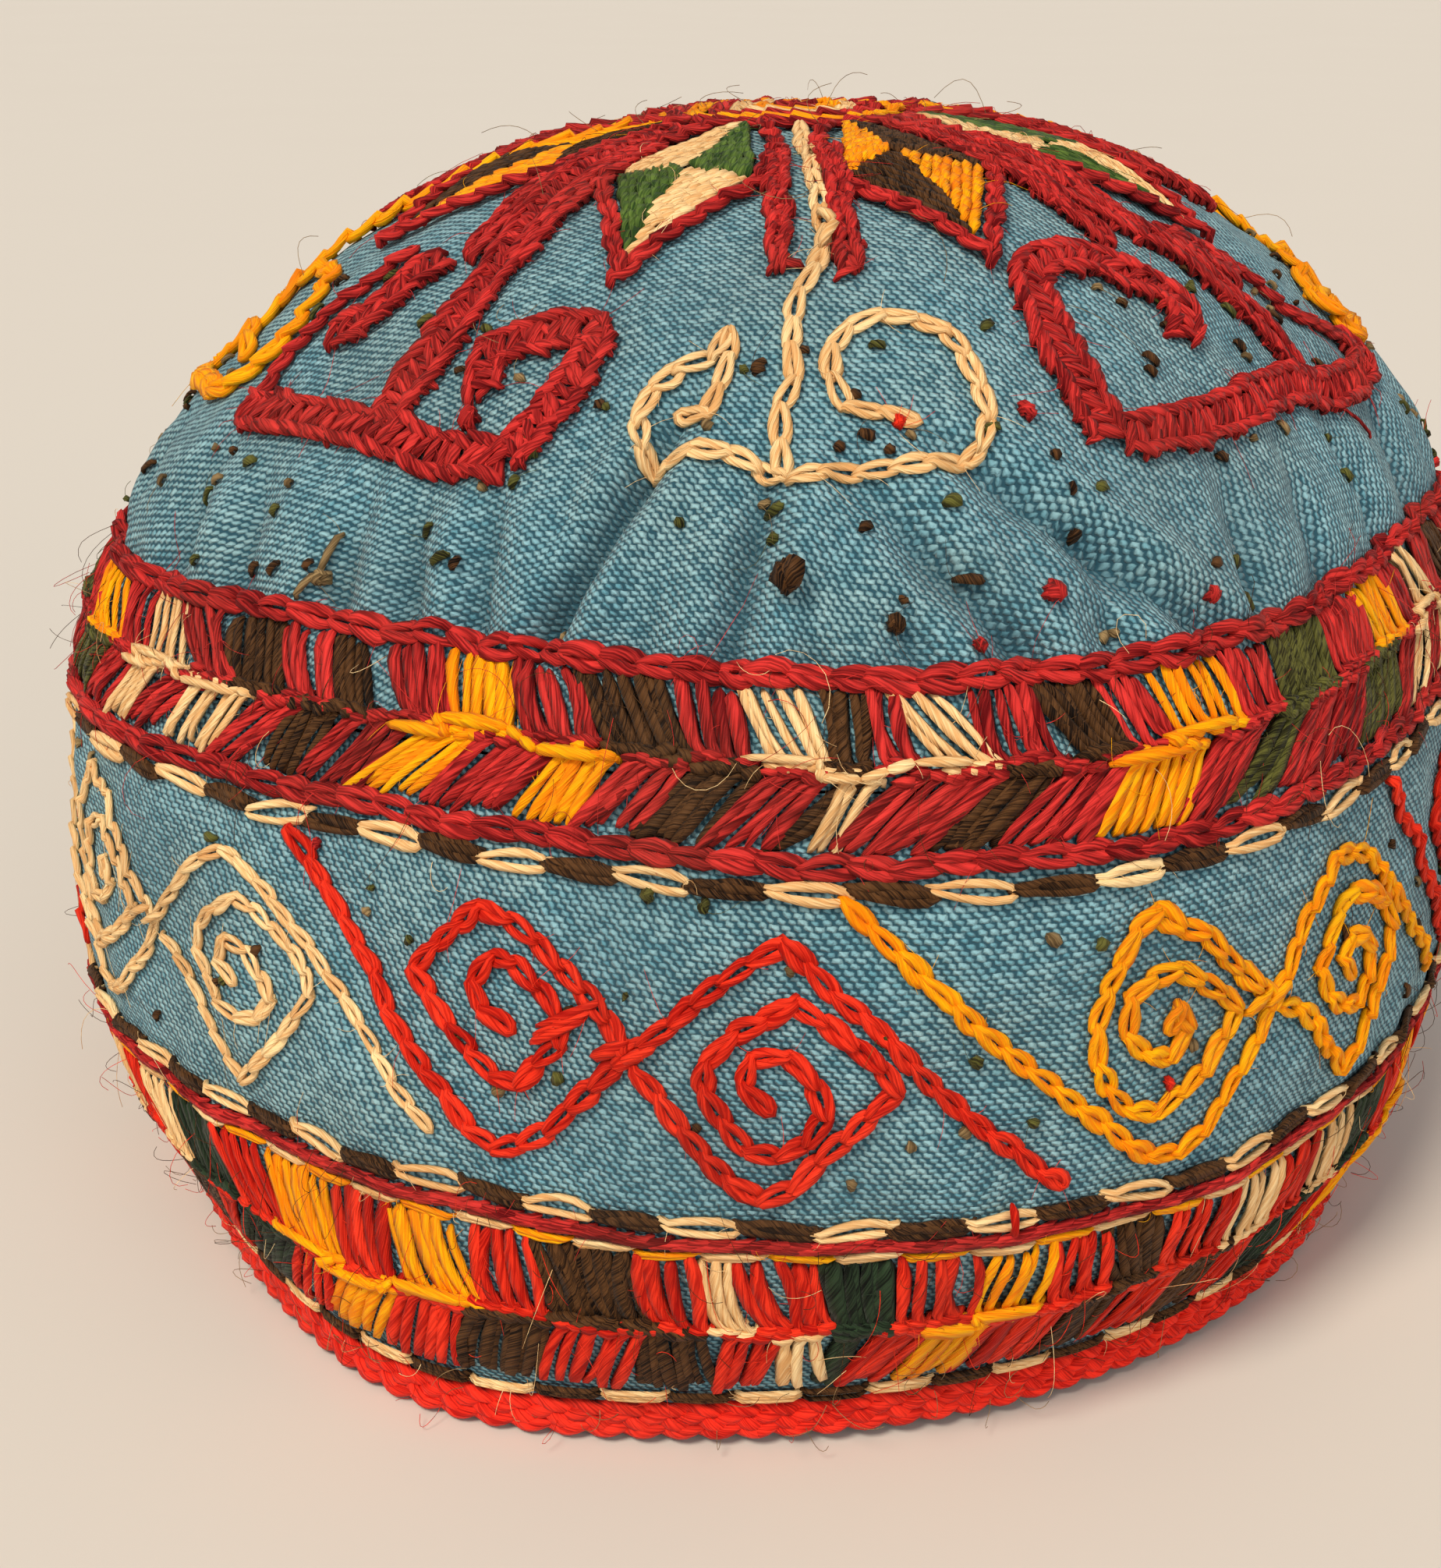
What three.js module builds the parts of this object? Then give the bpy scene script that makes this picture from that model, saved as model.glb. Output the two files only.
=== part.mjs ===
// An embroidered skullcap: a domed cotton crown gathered onto a barrel-shaped side band, with a raised band of
// needlework over the seam, a second one above the rim, a round medallion on top and a plaited braid round the rim.
// Millimetres. X runs to the right, Y to the back and Z up, and the front of the cap faces -Y.
// The origin is under the middle of the cap, on the surface that its rim rests on.
import * as THREE from "three";

// The cap's outline from the rim to the top of the crown, seen from the side. Heights start at the middle of the rim braid.
const OUTLINE = [
  { radius: 79.0, height: 0 },
  { radius: 84.2, height: 13 },
  { radius: 87.3, height: 30 },
  { radius: 87.0, height: 48 },
  { radius: 84.8, height: 64 },
  { radius: 82.0, height: 72.5 },
  { radius: 77.7, height: 82.2 },
  { radius: 73.8, height: 89.7 },
  { radius: 66.0, height: 100.3 },
  { radius: 54.4, height: 111.6 },
  { radius: 38.8, height: 121.1 },
  { radius: 19.4, height: 126.3 },
  { radius: 0, height: 127.8 },
];
const SHOULDER = { radius: 77.7, height: 82.2 };

// The worn cap isn't round: its plan turns a little square towards the shoulder, is slightly oval, and leans.
const PLAN = { square: 0.053, squareTurn: 0.303, ovalRim: -0.014, ovalShoulder: 0.017, ovalTurn: 0.175 };
const LEAN = { x: 1.3, y: 1.1, slopeX: 0.024, slopeY: -0.019 };
const MIDDLE = { x: 0.09, y: 0.31 }; // brings the middle of the leaning cap over the origin

const BRAID = { height: 4.4, thickness: 3.8, flat: 2.4, inset: 1.2, sideHeight: 2.2, topFlat: 2.2 };
const WALL = 2.4; // cloth and lining together
const GAP = 0.3; // left between pieces that touch
const SEAM = 74.5; // where crown and side band meet, measured up the cloth from the middle of the rim braid
const NEEDLEWORK = 1.1; // thickness of the raised bands
const MEDALLION = 0.9; // thickness of the stitched medallion
const BEVEL = 0.5; // how far the upper edge of raised needlework stands back

// Pleats where the crown is drawn in above the seam, in degrees from the front and millimetres.
// at: place at the band's upper edge, lean: degrees sideways for each mm up, width and depth of the crease,
// reach: how far up the cloth it runs.
const PLEATS = [
  { at: -74, lean: 0.05, width: 4.5, depth: 1.0, reach: 108 },
  { at: -60, lean: 0.0, width: 5.0, depth: 0.9, reach: 112 },
  { at: -46, lean: -0.2, width: 5.0, depth: 0.8, reach: 112 },
  { at: -37, lean: -0.13, width: 3.6, depth: 1.1, reach: 102 },
  { at: -26, lean: 0.08, width: 4.4, depth: 0.8, reach: 110 },
  { at: -19.5, lean: 0.33, width: 3.2, depth: 1.6, reach: 113 },
  { at: -4, lean: 0.0, width: 3.6, depth: 1.4, reach: 108 },
  { at: 1.5, lean: -0.08, width: 3.4, depth: 0.6, reach: 100 },
  { at: 12.5, lean: 0.05, width: 4.4, depth: 1.0, reach: 108 },
  { at: 20.5, lean: -0.22, width: 4.4, depth: 1.1, reach: 113 },
  { at: 26.5, lean: 0.15, width: 4.2, depth: 0.9, reach: 110 },
  { at: 36.5, lean: 0.08, width: 3.8, depth: 1.1, reach: 108 },
  { at: 49, lean: -0.05, width: 4.4, depth: 0.9, reach: 106 },
  { at: 62.5, lean: -0.05, width: 4.4, depth: 1.0, reach: 106 },
  { at: 75, lean: 0.1, width: 4.0, depth: 1.0, reach: 108 },
  { at: 90, lean: -0.1, width: 4.6, depth: 1.1, reach: 110 },
];
const PLEAT_FOOT = 82; // creases start under the band's upper edge
const PLEAT_FULL = 88;
const PLEAT_FADE = 16; // the last stretch of a crease, over which it dies out
const SWELL = { height: 0.5, from: 87, full: 92, fade: 102, to: 120 }; // cloth pushed out by the gathers

const SEAM_BAND = { bottom: 66.5, top: 86 };
const HEM_BAND = { bottom: 5.2, top: 31.5 };
const BAND_SEGMENTS = 64;
const BRAID_SEGMENTS = 60;

// Rings of the cloth: along is the distance up the cloth, segments the number of faces round it.
const SIDE_OUTSIDE = [2.7, 6, 13, 22, 31, 40, 49, 58, 66.5, SEAM - GAP / 2];
const SIDE_INSIDE = [2.7, 13, 26, 40, 53, 66.5, SEAM - GAP / 2];
const SIDE_SEGMENTS = { outside: 84, inside: 60 };
const CROWN_OUTSIDE = [
  { along: SEAM + GAP / 2, segments: 144 },
  { along: 79, segments: 144 },
  { along: 83.5, segments: 144 },
  { along: 87.5, segments: 144 },
  { along: 92, segments: 144 },
  { along: 97, segments: 144 },
  { along: 103, segments: 144 },
  { along: 110, segments: 108 },
  { along: 120, segments: 84 },
  { along: 131, segments: 72 },
  { along: 143, segments: 56 },
  { along: 155, segments: 40 },
  { along: 167, segments: 24 },
];
const CROWN_INSIDE = [
  { along: SEAM + GAP / 2, segments: 96 },
  { along: 83.5, segments: 96 },
  { along: 90, segments: 96 },
  { along: 97, segments: 96 },
  { along: 104, segments: 96 },
  { along: 112, segments: 72 },
  { along: 124, segments: 60 },
  { along: 138, segments: 48 },
  { along: 153, segments: 36 },
  { along: 167, segments: 20 },
];

// One eighth of the medallion's edge: eight pointed leaves between eight pairs of bars. turn is in degrees from the
// middle of a leaf, along is how far up the cloth the needlework starts there.
const LEAVES = 8;
const LEAF_EDGE = [
  { turn: -17, along: 130.5 },
  { turn: -16.2, along: 137 },
  { turn: -15.5, along: 143 },
  { turn: -13, along: 141 },
  { turn: -6.5, along: 135 },
  { turn: 0, along: 129 },
  { turn: 6.5, along: 135 },
  { turn: 13, along: 141 },
  { turn: 15.5, along: 143 },
  { turn: 16.2, along: 137 },
  { turn: 17, along: 130.5 },
  { turn: 22.5, along: 130.5 },
];
const MEDALLION_RINGS = [0, 0.2, 0.4, 0.6, 0.8]; // shares of the way from the medallion's edge to the middle
const MEDALLION_GAP = 0.5; // its flat faces bridge the curve of the dome

const COLOURS = { cloth: 0x4f829b, crimson: 0xa81e32, scarlet: 0xe62b1b, mixed: 0xc05a26, medallion: 0x9c4a2c };

const radians = THREE.MathUtils.degToRad;
const smooth = THREE.MathUtils.smoothstep;

// Distance of each row of the outline from its start.
const reached = [0];
OUTLINE.slice(1).forEach((row, i) => {
  reached.push(reached[i] + Math.hypot(row.radius - OUTLINE[i].radius, row.height - OUTLINE[i].height));
});
const APEX = reached[reached.length - 1];

// Slope of the outline at row i, for each mm along it: the slopes of the two stretches that meet there, the shorter
// one counting more. Past the top the outline mirrors, so the dome ends level.
function slopeAt(i) {
  const inner = OUTLINE[OUTLINE.length - 2];
  const here = OUTLINE[i];
  const after = OUTLINE[i + 1] ?? { radius: -inner.radius, height: inner.height };
  const before = OUTLINE[i - 1] ?? { radius: 2 * here.radius - after.radius, height: 2 * here.height - after.height };
  const span = Math.hypot(after.radius - here.radius, after.height - here.height);
  const past = Math.hypot(here.radius - before.radius, here.height - before.height);
  const slope = (key) =>
    ((past / span) * (after[key] - here[key]) + (span / past) * (here[key] - before[key])) / (past + span);
  return { radius: slope("radius"), height: slope("height") };
}

// Radius and height of the outline at a distance along it, with the direction that faces out of the cap there.
function outlineAt(along) {
  const clamped = THREE.MathUtils.clamp(along, 0, APEX);
  const i = Math.min(reached.findLastIndex((distance) => distance <= clamped), OUTLINE.length - 2);
  const span = reached[i + 1] - reached[i];
  const t = (clamped - reached[i]) / span;
  const from = slopeAt(i);
  const to = slopeAt(i + 1);
  const blend = (key) =>
    (2 * t ** 3 - 3 * t ** 2 + 1) * OUTLINE[i][key] +
    (t ** 3 - 2 * t ** 2 + t) * span * from[key] +
    (3 * t ** 2 - 2 * t ** 3) * OUTLINE[i + 1][key] +
    (t ** 3 - t ** 2) * span * to[key];
  const rate = (key) =>
    ((6 * t ** 2 - 6 * t) * (OUTLINE[i][key] - OUTLINE[i + 1][key])) / span +
    (3 * t ** 2 - 4 * t + 1) * from[key] +
    (3 * t ** 2 - 2 * t) * to[key];
  const out = new THREE.Vector2(rate("height"), -rate("radius")).normalize();
  return { radius: blend("radius"), height: blend("height"), out };
}

// Puts a radius and height of the outline at an angle round the cap, with the squareness, oval and lean of the worn cap.
function place(azimuth, radius, height) {
  const angle = radians(azimuth - 90);
  const rise = THREE.MathUtils.clamp(height / SHOULDER.height, 0, 1);
  const fade = height > SHOULDER.height ? THREE.MathUtils.clamp(radius / SHOULDER.radius, 0, 1) : 1;
  const square = PLAN.square * rise * Math.cos(4 * (angle - PLAN.squareTurn));
  const oval = THREE.MathUtils.lerp(PLAN.ovalRim, PLAN.ovalShoulder, rise) * Math.cos(2 * (angle + PLAN.ovalTurn));
  const reach = radius * (1 + fade * (square + oval));
  const x = MIDDLE.x + LEAN.x * (2 * rise - 1) + reach * Math.cos(angle);
  const y = MIDDLE.y + LEAN.y * (2 * rise - 1) + reach * Math.sin(angle);
  return new THREE.Vector3(x, y, BRAID.height / 2 + height + rise * (LEAN.slopeX * x + LEAN.slopeY * y));
}

// A point at an angle round the cap and a distance up the cloth, lifted off its outer face.
function onCap(azimuth, along, lift) {
  const { radius, height, out } = outlineAt(along);
  return place(azimuth, radius + lift * out.x, height + lift * out.y);
}

// How far the gathered cloth stands out from, or falls in behind, the plain dome.
function gathers(azimuth, along) {
  const { radius } = outlineAt(along);
  let lift = SWELL.height * smooth(along, SWELL.from, SWELL.full) * (1 - smooth(along, SWELL.fade, SWELL.to));
  for (const halfTurn of [0, 180]) {
    for (const pleat of PLEATS) {
      const middle = pleat.at + halfTurn + pleat.lean * (along - SEAM_BAND.top);
      const turn = THREE.MathUtils.euclideanModulo(azimuth - middle + 180, 360) - 180;
      const away = (radians(turn) * radius) / pleat.width;
      const fade = smooth(along, PLEAT_FOOT, PLEAT_FULL) * (1 - smooth(along, pleat.reach - PLEAT_FADE, pleat.reach));
      lift -= pleat.depth * fade * Math.exp(-away * away);
    }
  }
  return lift;
}

// A ring of points round the cap. turns are shares of a full turn, and point gives the place for an azimuth.
function ring(segments, point) {
  const turns = Array.from({ length: segments }, (_, i) => i / segments);
  return { turns, points: turns.map((turn) => point(turn * 360)) };
}

// A single point that ends a dome.
function tip(point) {
  return { turns: [0], points: [point] };
}

// Joins rings in order into one closed mesh. Each strip advances on the ring whose next point comes first.
// Rings that don't start and end in a tip join up at the end.
function solidFromRings(rings) {
  const positions = rings.flatMap((one) => one.points.flatMap((point) => point.toArray()));
  const starts = [];
  rings.reduce((start, one) => {
    starts.push(start);
    return start + one.points.length;
  }, 0);
  const faces = [];
  const strips = rings[0].points.length === 1 ? rings.length - 1 : rings.length;
  for (let k = 0; k < strips; k++) {
    const next = (k + 1) % rings.length;
    const near = rings[k];
    const far = rings[next];
    const nearSteps = near.points.length === 1 ? 0 : near.points.length;
    const farSteps = far.points.length === 1 ? 0 : far.points.length;
    const nearIndex = (i) => starts[k] + (i % near.points.length);
    const farIndex = (j) => starts[next] + (j % far.points.length);
    let i = 0;
    let j = 0;
    while (i < nearSteps || j < farSteps) {
      const nearTurn = i < nearSteps ? (near.turns[i + 1] ?? 1) : Infinity;
      const farTurn = j < farSteps ? (far.turns[j + 1] ?? 1) : Infinity;
      if (nearTurn <= farTurn) {
        faces.push(nearIndex(i), nearIndex(i + 1), farIndex(j));
        i++;
      } else {
        faces.push(nearIndex(i), farIndex(j + 1), farIndex(j));
        j++;
      }
    }
  }
  const geometry = new THREE.BufferGeometry();
  geometry.setAttribute("position", new THREE.Float32BufferAttribute(positions, 3));
  geometry.setIndex(faces);
  geometry.computeVertexNormals();
  return geometry;
}

function piece(name, geometry, color, roughness) {
  const mesh = new THREE.Mesh(geometry, new THREE.MeshStandardMaterial({ color, roughness, metalness: 0 }));
  mesh.name = name;
  return mesh;
}

// The gathered dome, open at the seam. Its inside follows the pleats of its outside.
function crownGeometry() {
  const wall = (row, depth) =>
    ring(row.segments, (azimuth) => onCap(azimuth, row.along, gathers(azimuth, row.along) - depth));
  return solidFromRings([
    tip(onCap(0, APEX, -WALL)),
    ...CROWN_INSIDE.toReversed().map((row) => wall(row, WALL)),
    ...CROWN_OUTSIDE.map((row) => wall(row, 0)),
    tip(onCap(0, APEX, 0)),
  ]);
}

// The barrel-shaped band below the seam, open at both ends.
function sideBandGeometry() {
  return solidFromRings([
    ...SIDE_INSIDE.toReversed().map((along) => ring(SIDE_SEGMENTS.inside, (azimuth) => onCap(azimuth, along, -WALL))),
    ...SIDE_OUTSIDE.map((along) => ring(SIDE_SEGMENTS.outside, (azimuth) => onCap(azimuth, along, 0))),
  ]);
}

// A raised band of needlework between two distances up the cloth, laid on its outer face.
function needleworkGeometry(bottom, top, steps) {
  const edge = (along, lift) => ring(BAND_SEGMENTS, (azimuth) => onCap(azimuth, along, lift));
  const across = (inset, lift) =>
    Array.from({ length: steps + 1 }, (_, i) => edge(THREE.MathUtils.lerp(bottom + inset, top - inset, i / steps), lift));
  return solidFromRings([...across(0, GAP).toReversed(), ...across(BEVEL, GAP + NEEDLEWORK)]);
}

// The plaited braid that covers the rim: it wraps the wall's edge and is flat where the cap rests on it.
function braidGeometry() {
  const middle = OUTLINE[0].radius - BRAID.inset;
  const section = [
    { out: -BRAID.flat / 2, up: 0 },
    { out: BRAID.flat / 2, up: 0 },
    { out: BRAID.thickness / 2, up: (BRAID.height - BRAID.sideHeight) / 2 },
    { out: BRAID.thickness / 2, up: (BRAID.height + BRAID.sideHeight) / 2 },
    { out: BRAID.topFlat / 2, up: BRAID.height },
    { out: -BRAID.topFlat / 2, up: BRAID.height },
    { out: -BRAID.thickness / 2, up: (BRAID.height + BRAID.sideHeight) / 2 },
    { out: -BRAID.thickness / 2, up: (BRAID.height - BRAID.sideHeight) / 2 },
  ];
  const level = ({ out, up }) =>
    ring(BRAID_SEGMENTS, (azimuth) => place(azimuth, middle + out, 0).setZ(up));
  return solidFromRings(section.map(level));
}

// The medallion: a thin stitched shell whose edge follows the leaves and bars.
function medallionGeometry() {
  const edge = [];
  for (let leaf = 0; leaf < LEAVES; leaf++) {
    const middle = ((leaf + 0.5) * 360) / LEAVES;
    edge.push(...LEAF_EDGE.map(({ turn, along }) => ({ azimuth: middle + turn, along })));
  }
  const first = edge[0].azimuth;
  const level = (share, lift) => ({
    turns: edge.map(({ azimuth }) => (azimuth - first) / 360),
    points: edge.map(({ azimuth, along }) => onCap(azimuth, THREE.MathUtils.lerp(along, APEX, share), lift)),
  });
  return solidFromRings([
    tip(onCap(0, APEX, MEDALLION_GAP)),
    ...MEDALLION_RINGS.toReversed().map((share) => level(share, MEDALLION_GAP)),
    ...MEDALLION_RINGS.map((share) => level(share, MEDALLION_GAP + MEDALLION)),
    tip(onCap(0, APEX, MEDALLION_GAP + MEDALLION)),
  ]);
}

const skullcap = new THREE.Group();
skullcap.name = "skullcap";
skullcap.add(
  piece("crown", crownGeometry(), COLOURS.cloth, 0.9),
  piece("side_band", sideBandGeometry(), COLOURS.cloth, 0.9),
  piece("rim_braid", braidGeometry(), COLOURS.scarlet, 0.8),
  piece("seam_needlework", needleworkGeometry(SEAM_BAND.bottom, SEAM_BAND.top, 4), COLOURS.crimson, 0.75),
  piece("hem_needlework", needleworkGeometry(HEM_BAND.bottom, HEM_BAND.top, 3), COLOURS.mixed, 0.75),
  piece("crown_medallion", medallionGeometry(), COLOURS.medallion, 0.75),
);

export default skullcap;
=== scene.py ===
"""Looks of an embroidered skullcap.

It is of gathered blue cotton with chain stitch figures, two bands of block stitches, a stitched medallion on
top and a scarlet plaited braid round the rim.

The cap's shape is worked out from its outline and plan, in millimetres, and every stitch is laid on it.
"""
import logging
import math
from collections.abc import Sequence
from dataclasses import dataclass, field
from enum import Enum

import bpy
import numpy as np
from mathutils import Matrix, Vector


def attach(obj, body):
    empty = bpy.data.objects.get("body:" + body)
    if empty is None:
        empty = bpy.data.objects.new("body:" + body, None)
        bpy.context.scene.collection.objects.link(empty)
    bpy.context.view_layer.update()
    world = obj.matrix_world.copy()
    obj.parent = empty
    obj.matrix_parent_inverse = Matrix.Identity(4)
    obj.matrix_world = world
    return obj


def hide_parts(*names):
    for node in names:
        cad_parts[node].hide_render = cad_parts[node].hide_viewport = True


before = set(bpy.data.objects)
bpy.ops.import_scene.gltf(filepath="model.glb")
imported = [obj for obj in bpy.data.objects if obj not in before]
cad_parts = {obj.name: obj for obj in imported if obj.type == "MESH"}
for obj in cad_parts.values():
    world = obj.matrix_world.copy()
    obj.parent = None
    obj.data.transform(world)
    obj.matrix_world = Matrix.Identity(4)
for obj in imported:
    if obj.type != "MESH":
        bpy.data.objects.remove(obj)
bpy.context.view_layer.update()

log = logging.getLogger("skullcap")

MM = 0.001
BODY = "root"

# Corners of a line on the cap: the azimuth in degrees and the distance up along the cloth in mm of each.
Route = Sequence[tuple[float, float]]


def linear(code: str) -> tuple[float, float, float, float]:
    """Turns a colour as a dyer's chart gives it into the colour that shaders use.

    Args:
        code: Six hexadecimal digits, red, green and blue.

    Returns:
        The linear colour with full cover.
    """
    shares = [int(code[i : i + 2], 16) / 255 for i in (0, 2, 4)]
    curve = [c / 12.92 if c <= 0.04045 else ((c + 0.055) / 1.055) ** 2.4 for c in shares]
    return (*curve, 1.0)


def smooth(value: np.ndarray, low: float, high: float) -> np.ndarray:
    """Rises smoothly from 0 at low to 1 at high.

    Args:
        value: Where to read it.
        low: Where the rise starts.
        high: Where it ends.

    Returns:
        The share risen at each value.
    """
    share = np.clip((value - low) / (high - low), 0.0, 1.0)
    return share * share * (3 - 2 * share)


def hump(value: np.ndarray, low: float, full: float, fade: float, end: float) -> np.ndarray:
    """Rises smoothly from 0 at low to 1 at full, and falls back from fade to end."""
    return smooth(value, low, full) * (1 - smooth(value, fade, end))


def turned(route: Route, turn: float) -> Route:
    """Turns a route round the cap by some degrees."""
    return [(turn + at, along) for at, along in route]


def unit(vectors: np.ndarray) -> np.ndarray:
    """Gives vectors a length of one."""
    return vectors / np.maximum(np.linalg.norm(vectors, axis=-1, keepdims=True), 1e-12)


def between_points(at: np.ndarray, marks: np.ndarray, line: np.ndarray) -> np.ndarray:
    """Reads places on a line of points, where each point has its mark."""
    return np.stack([np.interp(at, marks, line[:, k]) for k in (0, 1)], -1)


class Silk(Enum):
    """Colours of the embroidery thread, as piece names spell them."""

    CRIMSON = "crimson"
    SCARLET = "scarlet"
    ORANGE = "orange"
    CREAM = "cream"
    DARK = "dark"
    OLIVE = "olive"
    GREEN = "green"
    LEAF = "leaf"
    TAN = "tan"


@dataclass(frozen=True)
class Pleat:
    """A crease where the crown is drawn in above the seam.

    at is its place in degrees from the front, at the band's upper edge. lean is degrees sideways for each mm
    up, width and depth are in mm, and reach is how far up the cloth it runs.
    """

    at: float
    lean: float
    width: float
    depth: float
    reach: float


@dataclass(frozen=True)
class Dent:
    """A place where the worn rim is pressed in or lifted.

    at is its middle and spread its reach to each side in degrees, and pressed and lifted are in mm.
    """

    at: float
    spread: float
    pressed: float
    lifted: float


@dataclass(frozen=True)
class Wave:
    """A slow wave of the worn cloth: waves in each mm along x, y and z, height in mm and phase."""

    x: float
    y: float
    z: float
    height: float
    phase: float


@dataclass
class CapForm:
    """The shape of the worn cap.

    A place on it is an azimuth in degrees from the front, growing towards +X, and a distance up along the
    cloth in mm from the middle of the rim braid.
    """

    # Radius and height of the outline's points, from the rim to the top.
    outline: Route = (
        (79.0, 0), (84.2, 13), (87.3, 30), (87.0, 48), (84.8, 64), (82.0, 72.5), (77.7, 82.2),
        (73.8, 89.7), (66.0, 100.3), (54.4, 111.6), (38.8, 121.1), (19.4, 126.3), (0, 127.8),
    )
    # How the plan differs from a circle: it turns a little square and oval up to the shoulder, and leans.
    shoulder_radius: float = 77.7
    shoulder_height: float = 82.2
    square: float = 0.053
    square_turn: float = 0.303
    oval_rim: float = -0.014
    oval_shoulder: float = 0.017
    oval_turn: float = 0.175
    lean: tuple[float, float] = (1.3, 1.1)
    slope: tuple[float, float] = (0.024, -0.019)
    middle: tuple[float, float] = (0.09, 0.31)
    braid_height: float = 4.4
    wall: float = 2.4
    seam: float = 74.5
    band_top: float = 86.0
    pleats: tuple[Pleat, ...] = (
        Pleat(at=-74, lean=0.05, width=4.2, depth=1.0, reach=108),
        Pleat(at=-60, lean=0.0, width=4.4, depth=0.9, reach=112),
        Pleat(at=-50, lean=-0.2, width=4.0, depth=0.8, reach=110),
        Pleat(at=-40, lean=0.0, width=3.4, depth=1.1, reach=104),
        Pleat(at=-32.5, lean=-0.12, width=3.2, depth=1.1, reach=104),
        Pleat(at=-26, lean=0.0, width=3.2, depth=1.1, reach=108),
        Pleat(at=-19.4, lean=0.36, width=2.6, depth=1.9, reach=117),
        Pleat(at=-11, lean=0.15, width=3.6, depth=0.5, reach=102),
        Pleat(at=-4.3, lean=0.12, width=2.8, depth=1.6, reach=111),
        Pleat(at=2.0, lean=-0.1, width=3.2, depth=0.7, reach=100),
        Pleat(at=8.5, lean=0.1, width=3.4, depth=0.8, reach=101),
        Pleat(at=16.5, lean=-0.55, width=3.4, depth=1.5, reach=109),
        Pleat(at=23.0, lean=0.0, width=3.4, depth=0.9, reach=102),
        Pleat(at=31.0, lean=-0.8, width=3.6, depth=1.3, reach=115),
        Pleat(at=38.0, lean=0.05, width=3.6, depth=1.0, reach=106),
        Pleat(at=49, lean=-0.05, width=4.0, depth=1.0, reach=106),
        Pleat(at=62.5, lean=-0.05, width=4.2, depth=1.0, reach=106),
        Pleat(at=75, lean=0.1, width=4.0, depth=1.0, reach=108),
        Pleat(at=90, lean=-0.1, width=4.4, depth=1.1, reach=110),
    )
    pleat_foot: float = 82.0
    pleat_full: float = 88.0
    pleat_fade: float = 16.0
    # A pleat's section in shares of its depth: a wide hollow, a sharp crease, a ridge on each side, and one
    # side tucked in.
    hollow: float = 0.9
    crease: float = 1.5
    ridge: float = 0.8
    tuck: float = 0.7
    # Puckers: waves round the cap, how far and in how many places they crowd together, and height in mm.
    puckers: tuple[tuple[float, ...], ...] = ((34, 2.1, 5, 0.3), (57, 1.7, 8, 0.2))
    swell: float = 0.5
    # Stretches up the cloth as start, full, fade and end: the gathers, and where the bands' stitches pull.
    gathered: tuple[float, ...] = (85, 91, 97, 116)
    pulled: tuple[tuple[float, ...], ...] = ((50, 62, 64, 70), (28, 33, 34, 46))
    pull: float = 0.45
    dents: tuple[Dent, ...] = (
        Dent(at=-26, spread=10, pressed=-2.6, lifted=0.0),
        Dent(at=-62, spread=15, pressed=2.0, lifted=1.0),
        Dent(at=8, spread=18, pressed=1.2, lifted=1.0),
        Dent(at=38, spread=18, pressed=1.6, lifted=0.7),
        Dent(at=72, spread=18, pressed=1.2, lifted=0.4),
    )
    dent_reach: float = 34.0
    waves: tuple[Wave, ...] = (
        Wave(0.035, 0.012, 0.018, height=0.22, phase=0.4),
        Wave(-0.021, 0.044, 0.010, height=0.18, phase=2.1),
        Wave(0.060, -0.035, 0.042, height=0.14, phase=4.0),
        Wave(0.018, 0.070, -0.055, height=0.14, phase=1.2),
        Wave(0.105, 0.046, 0.061, height=0.11, phase=5.3),
        Wave(-0.072, 0.098, 0.083, height=0.1, phase=3.3),
    )
    wave_start: tuple[float, float] = (4, 30)
    wave_calm: tuple[float, float] = (118, 140)

    def __post_init__(self) -> None:
        """Works the outline out at close steps, with the direction that faces out of the cap at each."""
        rows = np.array(self.outline, float)
        spans = np.linalg.norm(np.diff(rows, axis=0), axis=1)
        reached = np.concatenate([[0], np.cumsum(spans)])
        self.apex = float(reached[-1])
        before = 2 * rows[0] - rows[1]
        after = np.array([-rows[-2][0], rows[-2][1]])
        padded = np.vstack([before, rows, after])
        gaps = np.linalg.norm(np.diff(padded, axis=0), axis=1)[:, None]
        moves = np.diff(padded, axis=0)
        past, ahead = gaps[:-1], gaps[1:]
        slopes = (past / ahead * moves[1:] + ahead / past * moves[:-1]) / (past + ahead)
        steps = np.linspace(0, self.apex, 2400)
        i = np.clip(np.searchsorted(reached, steps, side="right") - 1, 0, len(spans) - 1)
        t = ((steps - reached[i]) / spans[i])[:, None]
        span = spans[i][:, None]
        here, there = rows[i], rows[i + 1]
        point = (2 * t**3 - 3 * t**2 + 1) * here + (t**3 - 2 * t**2 + t) * span * slopes[i]
        point = point + (3 * t**2 - 2 * t**3) * there + (t**3 - t**2) * span * slopes[i + 1]
        rate = (6 * t**2 - 6 * t) * (here - there) / span
        rate = rate + (3 * t**2 - 4 * t + 1) * slopes[i] + (3 * t**2 - 2 * t) * slopes[i + 1]
        self.steps = steps
        self.points = point
        self.out = unit(np.stack([rate[:, 1], -rate[:, 0]], -1))

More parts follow.
